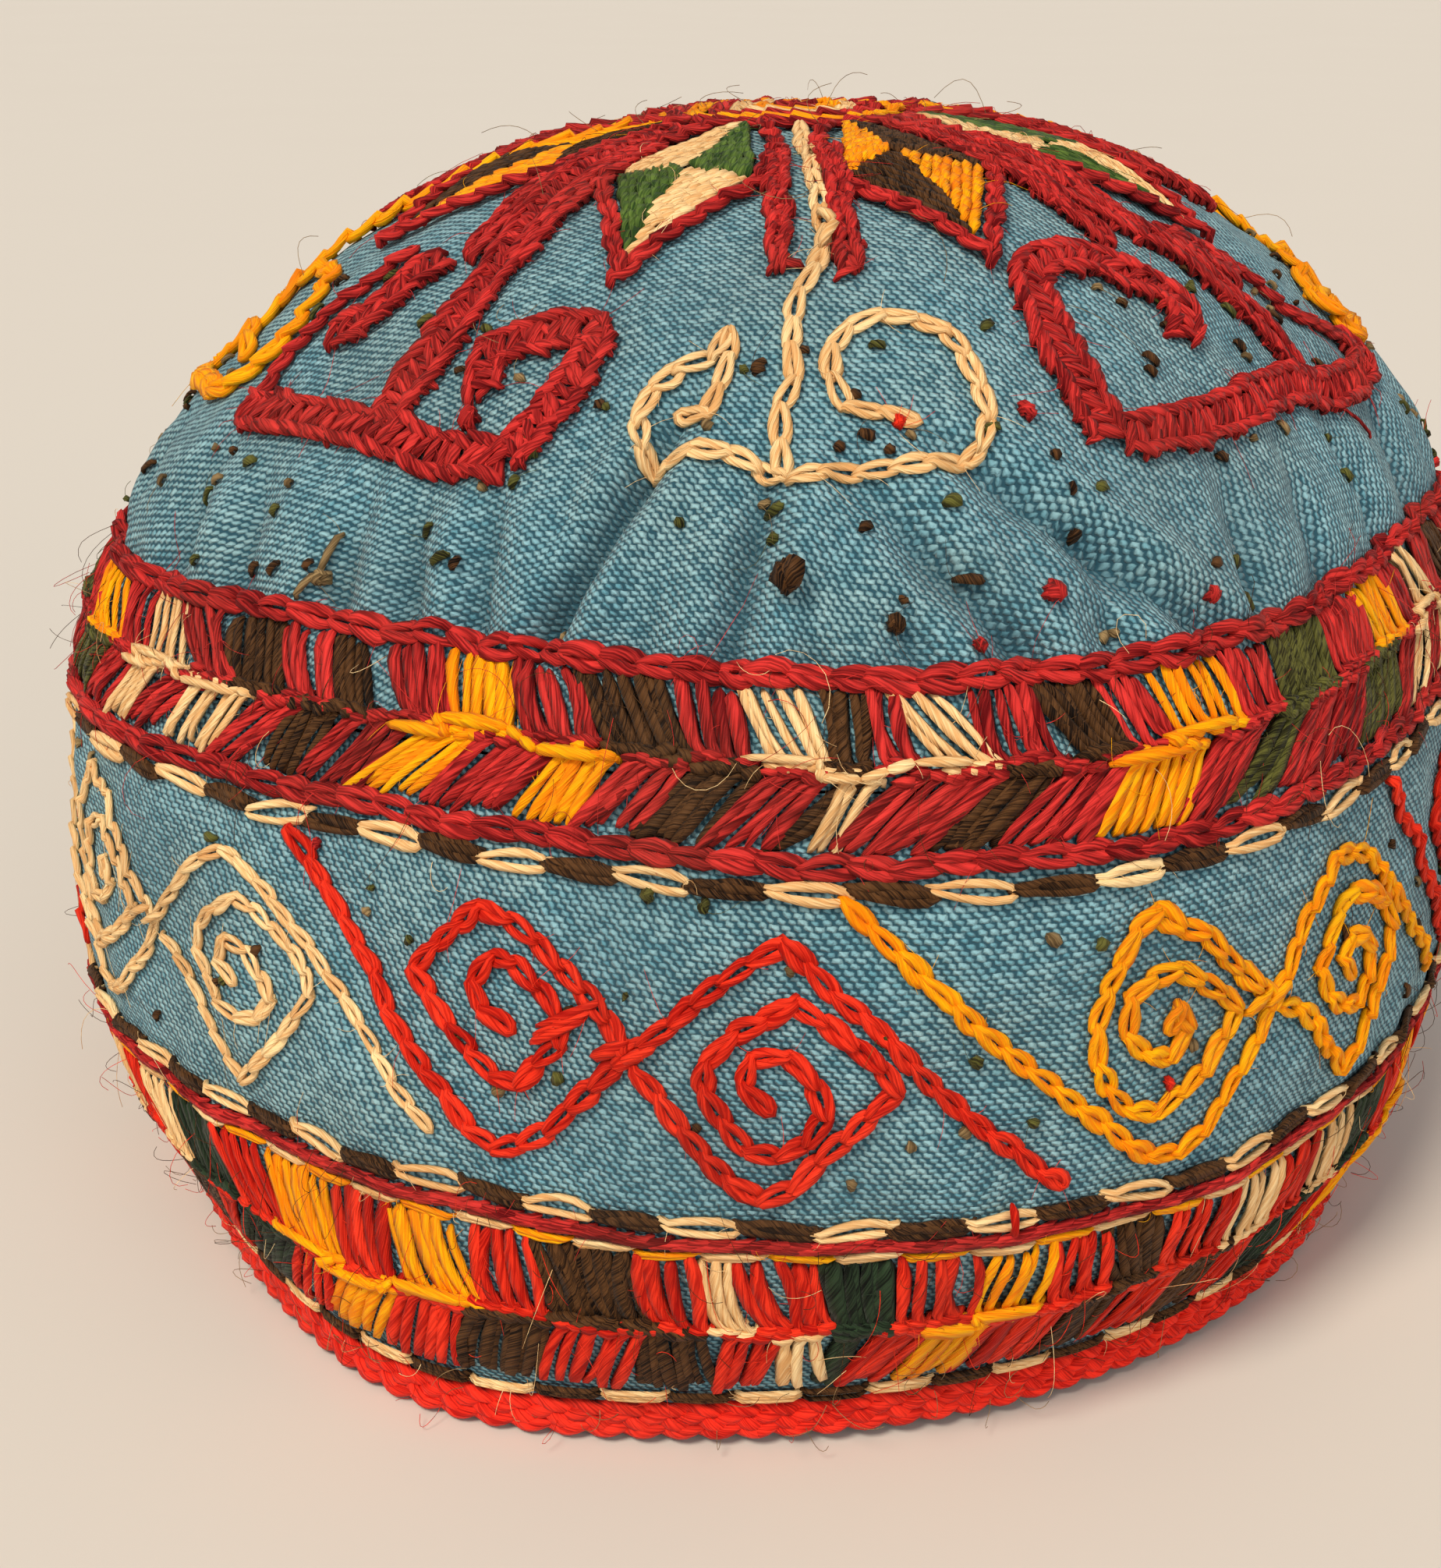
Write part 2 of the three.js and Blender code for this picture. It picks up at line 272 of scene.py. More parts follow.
    def fold(self, azimuth: np.ndarray, along: np.ndarray) -> tuple[np.ndarray, np.ndarray]:
        """Brings a place past the top of the crown back onto the outline, on the other side.

        Args:
            azimuth: Degrees from the front.
            along: Distance up the cloth, which may be past the apex.

        Returns:
            The same place with its distance below the apex.
        """
        azimuth, along = np.broadcast_arrays(np.asarray(azimuth, float), np.asarray(along, float))
        past = along > self.apex
        return np.where(past, azimuth + 180, azimuth), np.where(past, 2 * self.apex - along, along)

    def read(self, along: np.ndarray) -> tuple[np.ndarray, np.ndarray, np.ndarray, np.ndarray]:
        """Reads the outline.

        Args:
            along: Distance up the cloth.

        Returns:
            Radius, height, and the outward direction's share out and up.
        """
        columns = (self.points[:, 0], self.points[:, 1], self.out[:, 0], self.out[:, 1])
        return tuple(np.interp(along, self.steps, column) for column in columns)

    def degree(self, along: float) -> float:
        """Gives the length in mm of one degree round the cap, at a distance up the cloth."""
        return math.radians(1) * float(self.read(np.array(along))[0])

    def place(self, azimuth: np.ndarray, radius: np.ndarray, height: np.ndarray) -> np.ndarray:
        """Puts a radius and height of the outline round the cap, with its squareness, oval and lean.

        Args:
            azimuth: Degrees from the front.
            radius: Distance from the middle.
            height: Height over the middle of the rim braid.

        Returns:
            Points in mm in the part's frame.
        """
        angle = np.radians(azimuth - 90)
        rise = np.clip(height / self.shoulder_height, 0, 1)
        fade = np.where(height > self.shoulder_height, np.clip(radius / self.shoulder_radius, 0, 1), 1.0)
        square = self.square * rise * np.cos(4 * (angle - self.square_turn))
        oval = self.oval_rim + (self.oval_shoulder - self.oval_rim) * rise
        oval = oval * np.cos(2 * (angle + self.oval_turn))
        reach = radius * (1 + fade * (square + oval))
        x = self.middle[0] + self.lean[0] * (2 * rise - 1) + reach * np.cos(angle)
        y = self.middle[1] + self.lean[1] * (2 * rise - 1) + reach * np.sin(angle)
        z = self.braid_height / 2 + height + rise * (self.slope[0] * x + self.slope[1] * y)
        low = 1 - smooth(height, 0.0, self.dent_reach)
        for dent in self.dents:
            near = low * np.exp(-0.5 * (((azimuth - dent.at + 180) % 360 - 180) / dent.spread) ** 2)
            x = x - dent.pressed * near * np.cos(angle)
            y = y - dent.pressed * near * np.sin(angle)
            z = z + dent.lifted * near
        return np.stack([x, y, z], -1)

    def gathers(self, azimuth: np.ndarray, along: np.ndarray) -> np.ndarray:
        """How far the gathered cloth stands out from, or falls in behind, the plain dome.

        Args:
            azimuth: Degrees from the front.
            along: Distance up the cloth.

        Returns:
            Lift in mm at each place.
        """
        radius = self.read(along)[0]
        angle = np.radians(azimuth)
        puckers = sum(
            height * np.sin(waves * angle + crowd * np.sin(places * angle))
            for waves, crowd, places, height in self.puckers
        )
        lift = (self.swell + puckers) * hump(along, *self.gathered)
        for stretch in self.pulled:
            lift = lift + self.pull * puckers * hump(along, *stretch)
        for turn in (0, 180):
            for pleat in self.pleats:
                middle = pleat.at + turn + pleat.lean * (along - self.band_top)
                away = np.radians((azimuth - middle + 180) % 360 - 180) * radius / pleat.width
                fading = pleat.reach - self.pleat_fade
                fade = hump(along, self.pleat_foot, self.pleat_full, fading, pleat.reach)
                crease = self.hollow * np.exp(-away * away) + self.crease * np.exp(-np.abs(away) * 3.0)
                ridge = self.ridge * np.exp(-((np.abs(away) - 1.5) ** 2) * 2.2)
                tuck = self.tuck * np.tanh(3 * away) * np.exp(-away * away / 3)
                lift = lift - pleat.depth * fade * (crease - ridge - tuck)
        return lift

    def spot(
        self, azimuth: np.ndarray, along: np.ndarray, lift: np.ndarray | float = 0.0, waves: bool = True
    ) -> np.ndarray:
        """Finds a place on the worn cloth.

        Args:
            azimuth: Degrees from the front.
            along: Distance up the cloth in mm.
            lift: Height off the cloth in mm.
            waves: Whether the cloth's folds and waves count.

        Returns:
            Points in metres in the part's frame.
        """
        azimuth, along = self.fold(azimuth, along)
        radius, height, out, up = self.read(along)
        if waves:
            plain = self.place(azimuth, radius, height)
            fade = smooth(along, *self.wave_start) * (1 - 0.5 * smooth(along, *self.wave_calm))
            ripple = sum(
                wave.height * np.sin(2 * math.pi * (plain @ np.array([wave.x, wave.y, wave.z])) + wave.phase)
                for wave in self.waves
            )
            lift = lift + ripple * fade + self.gathers(azimuth, along)
        return self.place(azimuth, radius + lift * out, height + lift * up) * MM

    def outward(self, azimuth: np.ndarray, along: np.ndarray) -> np.ndarray:
        """Gives the direction that faces out of the cap.

        Args:
            azimuth: Degrees from the front.
            along: Distance up the cloth.

        Returns:
            A unit vector for each place.
        """
        azimuth, along = self.fold(azimuth, along)
        out, up = self.read(along)[2:]
        angle = np.radians(azimuth - 90)
        return np.stack([out * np.cos(angle), out * np.sin(angle), up], -1)

    def chart(self, azimuth: np.ndarray, along: np.ndarray) -> np.ndarray:
        """Puts places on a flat chart round the apex, where a step in any direction is smooth."""
        away = self.apex - np.asarray(along, float)
        angle = np.radians(azimuth)
        return np.stack([away * np.sin(angle), -away * np.cos(angle)], -1)

    def unchart(self, flat: np.ndarray) -> tuple[np.ndarray, np.ndarray]:
        """Reads azimuth and distance along the cloth back from the flat chart."""
        x, y = flat[..., 0], flat[..., 1]
        return np.degrees(np.arctan2(x, -y)), self.apex - np.hypot(x, y)

    def shift(self, flat: np.ndarray, move: np.ndarray) -> np.ndarray:
        """Moves chart places by short steps given in metres in space.

        Args:
            flat: Chart places.
            move: Steps in space, one for each place, with more axes in between where a place has many.

        Returns:
            The chart places moved to.
        """
        reach = 0.4
        columns = []
        for axis in (0, 1):
            side = np.zeros(2)
            side[axis] = reach / 2
            ends = [self.spot(*self.unchart(flat + way * side), waves=False) for way in (1, -1)]
            columns.append((ends[0] - ends[1]) / reach)
        grid = np.stack(columns, -1)
        square = np.swapaxes(grid, -1, -2) @ grid
        right = (np.swapaxes(grid, -1, -2) @ move[..., None])[..., 0]
        return flat + np.linalg.solve(square, right[..., None])[..., 0]

    def walk(self, corners: Route, spacing: float) -> np.ndarray:
        """Lays a route over the cloth and marks it off in equal steps.

        Args:
            corners: Azimuth and distance along the cloth of each corner.
            spacing: Length of a step in mm, fitted to a whole number of steps.

        Returns:
            Chart places of the steps, from end to end.
        """
        line = np.array(corners, float)
        crown = line[:, 1].min() > self.band_top
        if crown:
            line = self.chart(line[:, 0], line[:, 1])
        shares = np.arange(0, len(line) - 1 + 1e-9, 1 / 16)
        dense = between_points(shares, np.arange(len(line)), line)
        return self.even(dense if crown else self.chart(dense[:, 0], dense[:, 1]), spacing)

    def even(self, flat: np.ndarray, spacing: float) -> np.ndarray:
        """Marks a close line off in equal steps.

        Args:
            flat: Chart places of the line.
            spacing: About how long a step is, in mm.

        Returns:
            Chart places of the steps, from end to end.
        """
        space = self.spot(*self.unchart(flat)) / MM
        run = np.concatenate([[0], np.cumsum(np.linalg.norm(np.diff(space, axis=0), axis=1))])
        marks = np.linspace(0, run[-1], max(1, round(run[-1] / spacing)) + 1)
        return between_points(marks, run, flat)

    def beside(self, flat: np.ndarray, away: float) -> np.ndarray:
        """Moves a line of chart places sideways over the cloth.

        Args:
            flat: The line.
            away: Distance in mm, to the left of the line's way where positive.

        Returns:
            The line beside it.
        """
        space = self.spot(*self.unchart(flat), waves=False)
        ahead = unit(np.gradient(space, axis=0))
        side = unit(np.cross(self.outward(*self.unchart(flat)), ahead))
        return self.shift(flat, side * away * MM)


class Wiring:
    """Lays out the nodes of one material or node group."""

    def __init__(self, tree: bpy.types.NodeTree) -> None:
        """Keeps the tree that nodes are added to."""
        self.tree = tree

    def feed(self, socket: bpy.types.NodeSocket, value: object) -> None:
        """Feeds an input.

        Args:
            socket: The input.
            value: The socket that it is linked to, or its constant.
        """
        if isinstance(value, bpy.types.NodeSocket):
            self.tree.links.new(value, socket)
        else:
            socket.default_value = value

    def add(self, kind: str, settings: dict | None = None, **inputs: object) -> bpy.types.Node:
        """Adds a node.

        Args:
            kind: Blender's name of the node type.
            settings: Attributes to set first.
            inputs: Values or sockets by input name, with underscores for spaces.

        Returns:
            The node.
        """
        node = self.tree.nodes.new(kind)
        for key, value in (settings or {}).items():
            setattr(node, key, value)
        for key, value in inputs.items():
            self.feed(node.inputs[key.replace("_", " ")], value)
        return node

    def math(self, operation: str, first: object, second: object = 0.0) -> bpy.types.NodeSocket:
        """Adds a sum of one or two numbers and gives its result."""
        return self.work_out("ShaderNodeMath", {"operation": operation}, first, second)

    def vector(self, operation: str, first: object, second: object) -> bpy.types.NodeSocket:
        """Adds a sum of two vectors and gives its result."""
        return self.work_out("ShaderNodeVectorMath", {"operation": operation}, first, second)

    def work_out(self, kind: str, settings: dict, *values: object) -> bpy.types.NodeSocket:
        """Adds a node that takes its inputs by their order.

        Args:
            kind: Blender's name of the node type.
            settings: Attributes to set first.
            values: Values or sockets for the first inputs.

        Returns:
            Its first output.
        """
        node = self.add(kind, settings)
        for socket, value in zip(node.inputs, values):
            self.feed(socket, value)
        return node.outputs[0]

    def noise(
        self, vector: object, scale: float, detail: float = 2.0, plain: bool = True
    ) -> bpy.types.NodeSocket:
        """Adds soft noise and gives its value, or its colour where plain is False."""
        node = self.add("ShaderNodeTexNoise", Vector=vector, Scale=scale, Detail=detail)
        return node.outputs["Fac" if plain else "Color"]

    def between(
        self, value: object, low: float, high: float, to: tuple[float, float] = (0.0, 1.0)
    ) -> bpy.types.NodeSocket:
        """Adds a smooth rise from the first of to at low to the second at high, and gives its result."""
        settings = {"interpolation_type": "SMOOTHSTEP"}
        return self.work_out("ShaderNodeMapRange", settings, value, low, high, *to)

    def mix(self, share: object, first: object, second: object) -> bpy.types.NodeSocket:
        """Adds a mix of two colours.

        Args:
            share: The second colour's share.
            first: The first colour.
            second: The second.

        Returns:
            The mixed colour.
        """
        node = self.add("ShaderNodeMix", {"data_type": "RGBA"})
        self.feed(node.inputs["Factor"], share)
        self.feed(node.inputs[6], first)
        self.feed(node.inputs[7], second)
        return node.outputs[2]

    def group(self, tree: bpy.types.NodeTree, **inputs: object) -> bpy.types.Node:
        """Adds a node group, with its inputs by name."""
        return self.add("ShaderNodeGroup", {"node_tree": tree}, **inputs)

    def relief(self, surface: bpy.types.Node, height: object, distance: float, strength: float = 1.0) -> None:
        """Bumps a surface by a height, which stands for a distance in metres."""
        bump = self.add("ShaderNodeBump", Strength=strength, Distance=distance, Height=height)
        self.feed(surface.inputs["Normal"], bump.outputs[0])


def start_finish(name: str) -> tuple[bpy.types.Material, Wiring, bpy.types.Node]:
    """Starts a material.

    Args:
        name: Its name.

    Returns:
        The material, its wiring and its surface node.
    """
    made = bpy.data.materials.new(name)
    made.use_nodes = True
    return made, Wiring(made.node_tree), made.node_tree.nodes["Principled BSDF"]


@dataclass
class ShaderGroups:
    """The effects that several finishes share, each built once as a node group."""

    # How the cloth's threads stray: fineness and detail of the noise, and how far they move in metres.
    strays: tuple[tuple[float, float, float], ...] = (
        (130.0, 2.0, 0.00055), (28.0, 1.0, 0.0022), (1000.0, 1.0, 0.00045),
    )
    # A knuckle of the weave: how close knuckles lie in a row, how its ends narrow, how round its back is, how
    # far it slants, how rough its fibres are and how much knuckles differ in height.
    crowding: float = 1.1
    narrowing: float = 1.25
    roundness: float = 0.65
    slant: float = 0.24
    fluff: float = 0.5
    unevenness: float = 0.34

    def __post_init__(self) -> None:
        """Builds the groups."""
        self.weave = self.build_weave()
        self.floss = self.build_floss()
        self.wear = self.build_wear()

    @staticmethod
    def start(
        name: str, inputs: dict[str, str], outputs: dict[str, str]
    ) -> tuple[Wiring, bpy.types.Node, bpy.types.Node]:
        """Starts a group.

        Args:
            name: The group's name.
            inputs: Socket kinds by input name.
            outputs: Socket kinds by output name.

        Returns:
            Its wiring, and its input and output nodes.
        """
        tree = bpy.data.node_groups.new(name, "ShaderNodeTree")
        for way, sockets in (("INPUT", inputs), ("OUTPUT", outputs)):
            for label, kind in sockets.items():
                tree.interface.new_socket(label, in_out=way, socket_type="NodeSocket" + kind)
        wiring = Wiring(tree)
        return wiring, wiring.add("NodeGroupInput"), wiring.add("NodeGroupOutput")

    def build_weave(self) -> bpy.types.NodeTree:
        """Builds plain weave: rows of knuckles that lie like bricks, each with its own tint.

        Returns:
            The group, with a knuckle mask, a height, a tint for each knuckle and a slow drift of the threads.
        """
        outputs = {"Knuckle": "Float", "Height": "Float", "Tint": "Float", "Drift": "Float"}
        wire, given, made = self.start("plain_weave", {"Vector": "Vector", "Pitch": "Float"}, outputs)
        cloth = given.outputs["Vector"]
        bent = cloth
        for fineness, detail, reach in self.strays:
            stray = wire.vector("SUBTRACT", wire.noise(cloth, fineness, detail, plain=False), (0.5, 0.5, 0.5))
            bent = wire.vector("ADD", bent, wire.vector("MULTIPLY", stray, (reach, reach, 0.0)))
        threads = wire.vector("DIVIDE", bent, given.outputs["Pitch"])
        parts = wire.add("ShaderNodeSeparateXYZ", Vector=threads)
        across, up = wire.math("MULTIPLY", parts.outputs[0], self.crowding), parts.outputs[1]
        row = wire.math("ROUND", up)
        inset = wire.math("SUBTRACT", across, wire.math("FLOORED_MODULO", row, 2.0))
        brick = wire.math("ROUND", wire.math("DIVIDE", inset, 2.0))
        cell = wire.add("ShaderNodeCombineXYZ", X=brick, Y=row)
        chance = wire.add("ShaderNodeTexWhiteNoise", {"noise_dimensions": "2D"}, Vector=cell.outputs[0])
        swell = wire.math("ABSOLUTE", wire.math("COSINE", wire.math("MULTIPLY", inset, math.pi / 2)))
        swell = wire.math("POWER", swell, self.narrowing)
        aside = wire.math("SUBTRACT", inset, wire.math("MULTIPLY", brick, 2.0))
        level = wire.math("ADD", wire.math("SUBTRACT", up, row), wire.math("MULTIPLY", aside, self.slant))
        round_back = wire.math("MAXIMUM", wire.math("COSINE", wire.math("MULTIPLY", level, math.pi)), 0.0)
        round_back = wire.math("POWER", round_back, self.roundness)
        lift = wire.math("MULTIPLY", swell, round_back)
        fluff = wire.math("MULTIPLY", wire.math("SUBTRACT", wire.noise(cloth, 3600.0), 0.5), self.fluff)
        uneven = wire.math("MULTIPLY", wire.math("SUBTRACT", chance.outputs["Value"], 0.5), self.unevenness)
        worn = wire.math("ADD", wire.math("ADD", lift, fluff), uneven)
        ways = ((1.0, 0.05, 1.0), (0.05, 1.0, 1.0))
        streaks = [wire.noise(wire.vector("MULTIPLY", cloth, way), 900.0) for way in ways]
        wire.feed(made.inputs["Knuckle"], wire.between(worn, 0.05, 0.6))
        wire.feed(made.inputs["Height"], wire.between(worn, -0.1, 1.2))
        wire.feed(made.inputs["Tint"], chance.outputs["Value"])
        wire.feed(made.inputs["Drift"], wire.math("MULTIPLY", wire.math("ADD", *streaks), 0.5))
        return wire.tree

    def build_floss(self) -> bpy.types.NodeTree:
        """Builds the fine fibres that run along a thread.

        Returns:
            The group, with a fibre mask, a height and a slow change along the thread.
        """
        outputs = {"Fibre": "Float", "Height": "Float", "Drift": "Float"}
        wire, given, made = self.start("silk_floss", {"Vector": "Vector", "Twist": "Float"}, outputs)
        parts = wire.add("ShaderNodeSeparateXYZ", Vector=given.outputs["Vector"])
        turn = wire.math("MULTIPLY", parts.outputs[0], given.outputs["Twist"])
        around = wire.math("ADD", parts.outputs[1], turn)
        line = wire.add("ShaderNodeCombineXYZ", X=wire.math("MULTIPLY", parts.outputs[0], 0.045), Y=around)
        fine = wire.noise(line.outputs[0], 5200.0, 2.0)
        broad = wire.noise(line.outputs[0], 1900.0, 1.0)
        both = wire.math("ADD", wire.math("MULTIPLY", fine, 0.55), wire.math("MULTIPLY", broad, 0.45))
        wire.feed(made.inputs["Fibre"], wire.between(both, 0.36, 0.62))
        wire.feed(made.inputs["Height"], both)
        wire.feed(made.inputs["Drift"], wire.noise(given.outputs["Vector"], 320.0, 1.0))
        return wire.tree

    def build_wear(self) -> bpy.types.NodeTree:
        """Builds the slow patches of fading and handling on old cloth.

        Returns:
            The group, with a faded mask and a soiled mask.
        """
        outputs = {"Faded": "Float", "Soiled": "Float"}
        wire, given, made = self.start("old_wear", {"Vector": "Vector"}, outputs)
        spot = given.outputs["Vector"]
        wire.feed(made.inputs["Faded"], wire.between(wire.noise(spot, 70.0, 4.0), 0.38, 0.68))
        moved = wire.vector("ADD", spot, (0.31, 0.12, 0.27))
        wire.feed(made.inputs["Soiled"], wire.between(wire.noise(moved, 45.0, 5.0), 0.46, 0.72))
        return wire.tree


@dataclass(frozen=True)
class SilkFinish:
    """Floss silk: its colours, roughness and sheen, how much its fibres show and how far they turn."""

    light: str
    shade: str
    roughness: float = 0.68
    sheen: float = 0.03
    fibres: float = 0.7
    twist: float = 0.25
    soil: str = "4A3A2C"

    def material(self, name: str, groups: ShaderGroups) -> bpy.types.Material:
        """Builds the material.

        Args:
            name: Its name.
            groups: The shared node groups.

        Returns:
            The material.
        """
        made, wire, surface = start_finish(name)
        route = wire.add("ShaderNodeUVMap", {"uv_map": "thread"})
        floss = wire.group(groups.floss, Vector=route.outputs[0], Twist=self.twist)
        tone = wire.add("ShaderNodeAttribute", {"attribute_name": "tone"}).outputs["Fac"]
        spot = wire.add("ShaderNodeTexCoord").outputs["Object"]
        wear = wire.group(groups.wear, Vector=spot)
        share = wire.math("MULTIPLY", floss.outputs["Fibre"], self.fibres)
        share = wire.math("ADD", share, wire.math("MULTIPLY", tone, 0.45))
        share = wire.math("ADD", share, wire.math("MULTIPLY", floss.outputs["Drift"], 0.3))
        colour = wire.mix(wire.between(share, 0.0, 1.25), linear(self.shade), linear(self.light))
        colour = wire.mix(wire.math("MULTIPLY", wear.outputs["Soiled"], 0.18), colour, linear(self.soil))
        wire.feed(surface.inputs["Base Color"], colour)
        rough = wire.between(floss.outputs["Fibre"], 0.0, 1.0, (self.roughness + 0.14, self.roughness - 0.06))
        wire.feed(surface.inputs["Roughness"], rough)
        surface.inputs["Sheen Weight"].default_value = self.sheen
        surface.inputs["Sheen Roughness"].default_value = 0.4
        surface.inputs["Specular IOR Level"].default_value = 0.1
        wire.relief(surface, floss.outputs["Height"], 0.00045)
        return made


@dataclass(frozen=True)
class CottonFinish:
    """Plain-woven cotton: colours of the knuckles, of the painted shade in gaps and folds, of wear, and the
    pitch.
    """

    knuckle: str = "89B8C5"
    # painted shade colour, laid in the gaps between knuckles and in the folds
    deep: str = "5A98AB"
    gap: str = "214A5A"
    faded: str = "A6B7AC"
    soil: str = "38545E"
    pitch: float = 0.0006

    def material(self, name: str, groups: ShaderGroups) -> bpy.types.Material:
        """Builds the material.

        Args:
            name: Its name.
            groups: The shared node groups.

        Returns:
            The material.
        """
        made, wire, surface = start_finish(name)
        route = wire.add("ShaderNodeUVMap", {"uv_map": "cloth"})
        weave = wire.group(groups.weave, Vector=route.outputs[0], Pitch=self.pitch)
        spot = wire.add("ShaderNodeTexCoord").outputs["Object"]
        wear = wire.group(groups.wear, Vector=spot)
        tint = wire.math("ADD", wire.math("MULTIPLY", weave.outputs["Tint"], 0.55), weave.outputs["Drift"])
        colour = wire.mix(wire.between(tint, 0.35, 1.1), linear(self.deep), linear(self.knuckle))
        colour = wire.mix(wire.math("MULTIPLY", wear.outputs["Faded"], 0.22), colour, linear(self.faded))
        # painted shade: the gap colour fills the cloth between the knuckles
        colour = wire.mix(weave.outputs["Knuckle"], linear(self.gap), colour)
        colour = wire.mix(wire.math("MULTIPLY", wear.outputs["Soiled"], 0.24), colour, linear(self.soil))
        # painted shade: the gap colour darkens the cloth in the gathers' folds, the more the deeper they lie
        fold = wire.add("ShaderNodeAttribute", {"attribute_name": "fold"}).outputs["Fac"]
        colour = wire.mix(wire.math("MULTIPLY", fold, 0.75), colour, linear(self.gap))
        wire.feed(surface.inputs["Base Color"], colour)
        wire.feed(surface.inputs["Roughness"], wire.between(weave.outputs["Knuckle"], 0.0, 1.0, (0.95, 0.72)))
        surface.inputs["Sheen Weight"].default_value = 0.15
        surface.inputs["Specular IOR Level"].default_value = 0.3
        wire.relief(surface, weave.outputs["Height"], 0.00034)
        return made


@dataclass(frozen=True)
class PlainFinish:
    """A matt surface such as the floor: two colours, how fine their patches are, and how rough it is."""

    light: str
    shade: str
    scale: float
    roughness: float = 0.85

    def material(self, name: str) -> bpy.types.Material:
        """Builds the material.

        Args:
            name: Its name.

        Returns:
            The material.
        """
        made, wire, surface = start_finish(name)
        spot = wire.add("ShaderNodeTexCoord").outputs["Object"]
        patch = wire.noise(spot, self.scale, 3.0)
        wire.feed(surface.inputs["Base Color"], wire.mix(patch, linear(self.shade), linear(self.light)))
        rough = wire.between(patch, 0.0, 1.0, (self.roughness, self.roughness - 0.1))
        wire.feed(surface.inputs["Roughness"], rough)
        wire.relief(surface, patch, 0.0002, 0.3)
        return made


SILKS = {
    Silk.CRIMSON: SilkFinish("E23834", "5C0409"),
    Silk.SCARLET: SilkFinish("FF3C20", "A20A02", 0.62),
    Silk.ORANGE: SilkFinish("FFBA00", "F08000", 0.6),
    Silk.CREAM: SilkFinish("FFE0A8", "D8A266", 0.6),
    Silk.DARK: SilkFinish("5C3C20", "0C0402", 0.6, fibres=1.0, twist=0.9),
    Silk.OLIVE: SilkFinish("64642E", "1A1908", 0.6, sheen=0.05, fibres=0.9, twist=0.7),
    Silk.GREEN: SilkFinish("2C3F2A", "060C07", 0.6, sheen=0.05, fibres=0.9, twist=0.5),
    Silk.LEAF: SilkFinish("647F36", "1F3A14", 0.6, sheen=0.05),
    Silk.TAN: SilkFinish("A88D62", "57452C", 0.7, sheen=0.05),
}


class Wardrobe:
    """The finishes as Blender materials, each built once."""

    def __init__(self) -> None:
        """Builds the shared node groups."""
        self.groups = ShaderGroups()
        self.made: dict[str, bpy.types.Material] = {}

    def silk(self, silk: Silk) -> bpy.types.Material:
        """Gives the material of an embroidery silk."""
        if silk.value not in self.made:
            self.made[silk.value] = SILKS[silk].material(f"{silk.value}_floss", self.groups)
        return self.made[silk.value]

    def cotton(self) -> bpy.types.Material:
        """Gives the material of the blue cloth."""
        if "cotton" not in self.made:
            self.made["cotton"] = CottonFinish().material("blue_weave", self.groups)
        return self.made["cotton"]


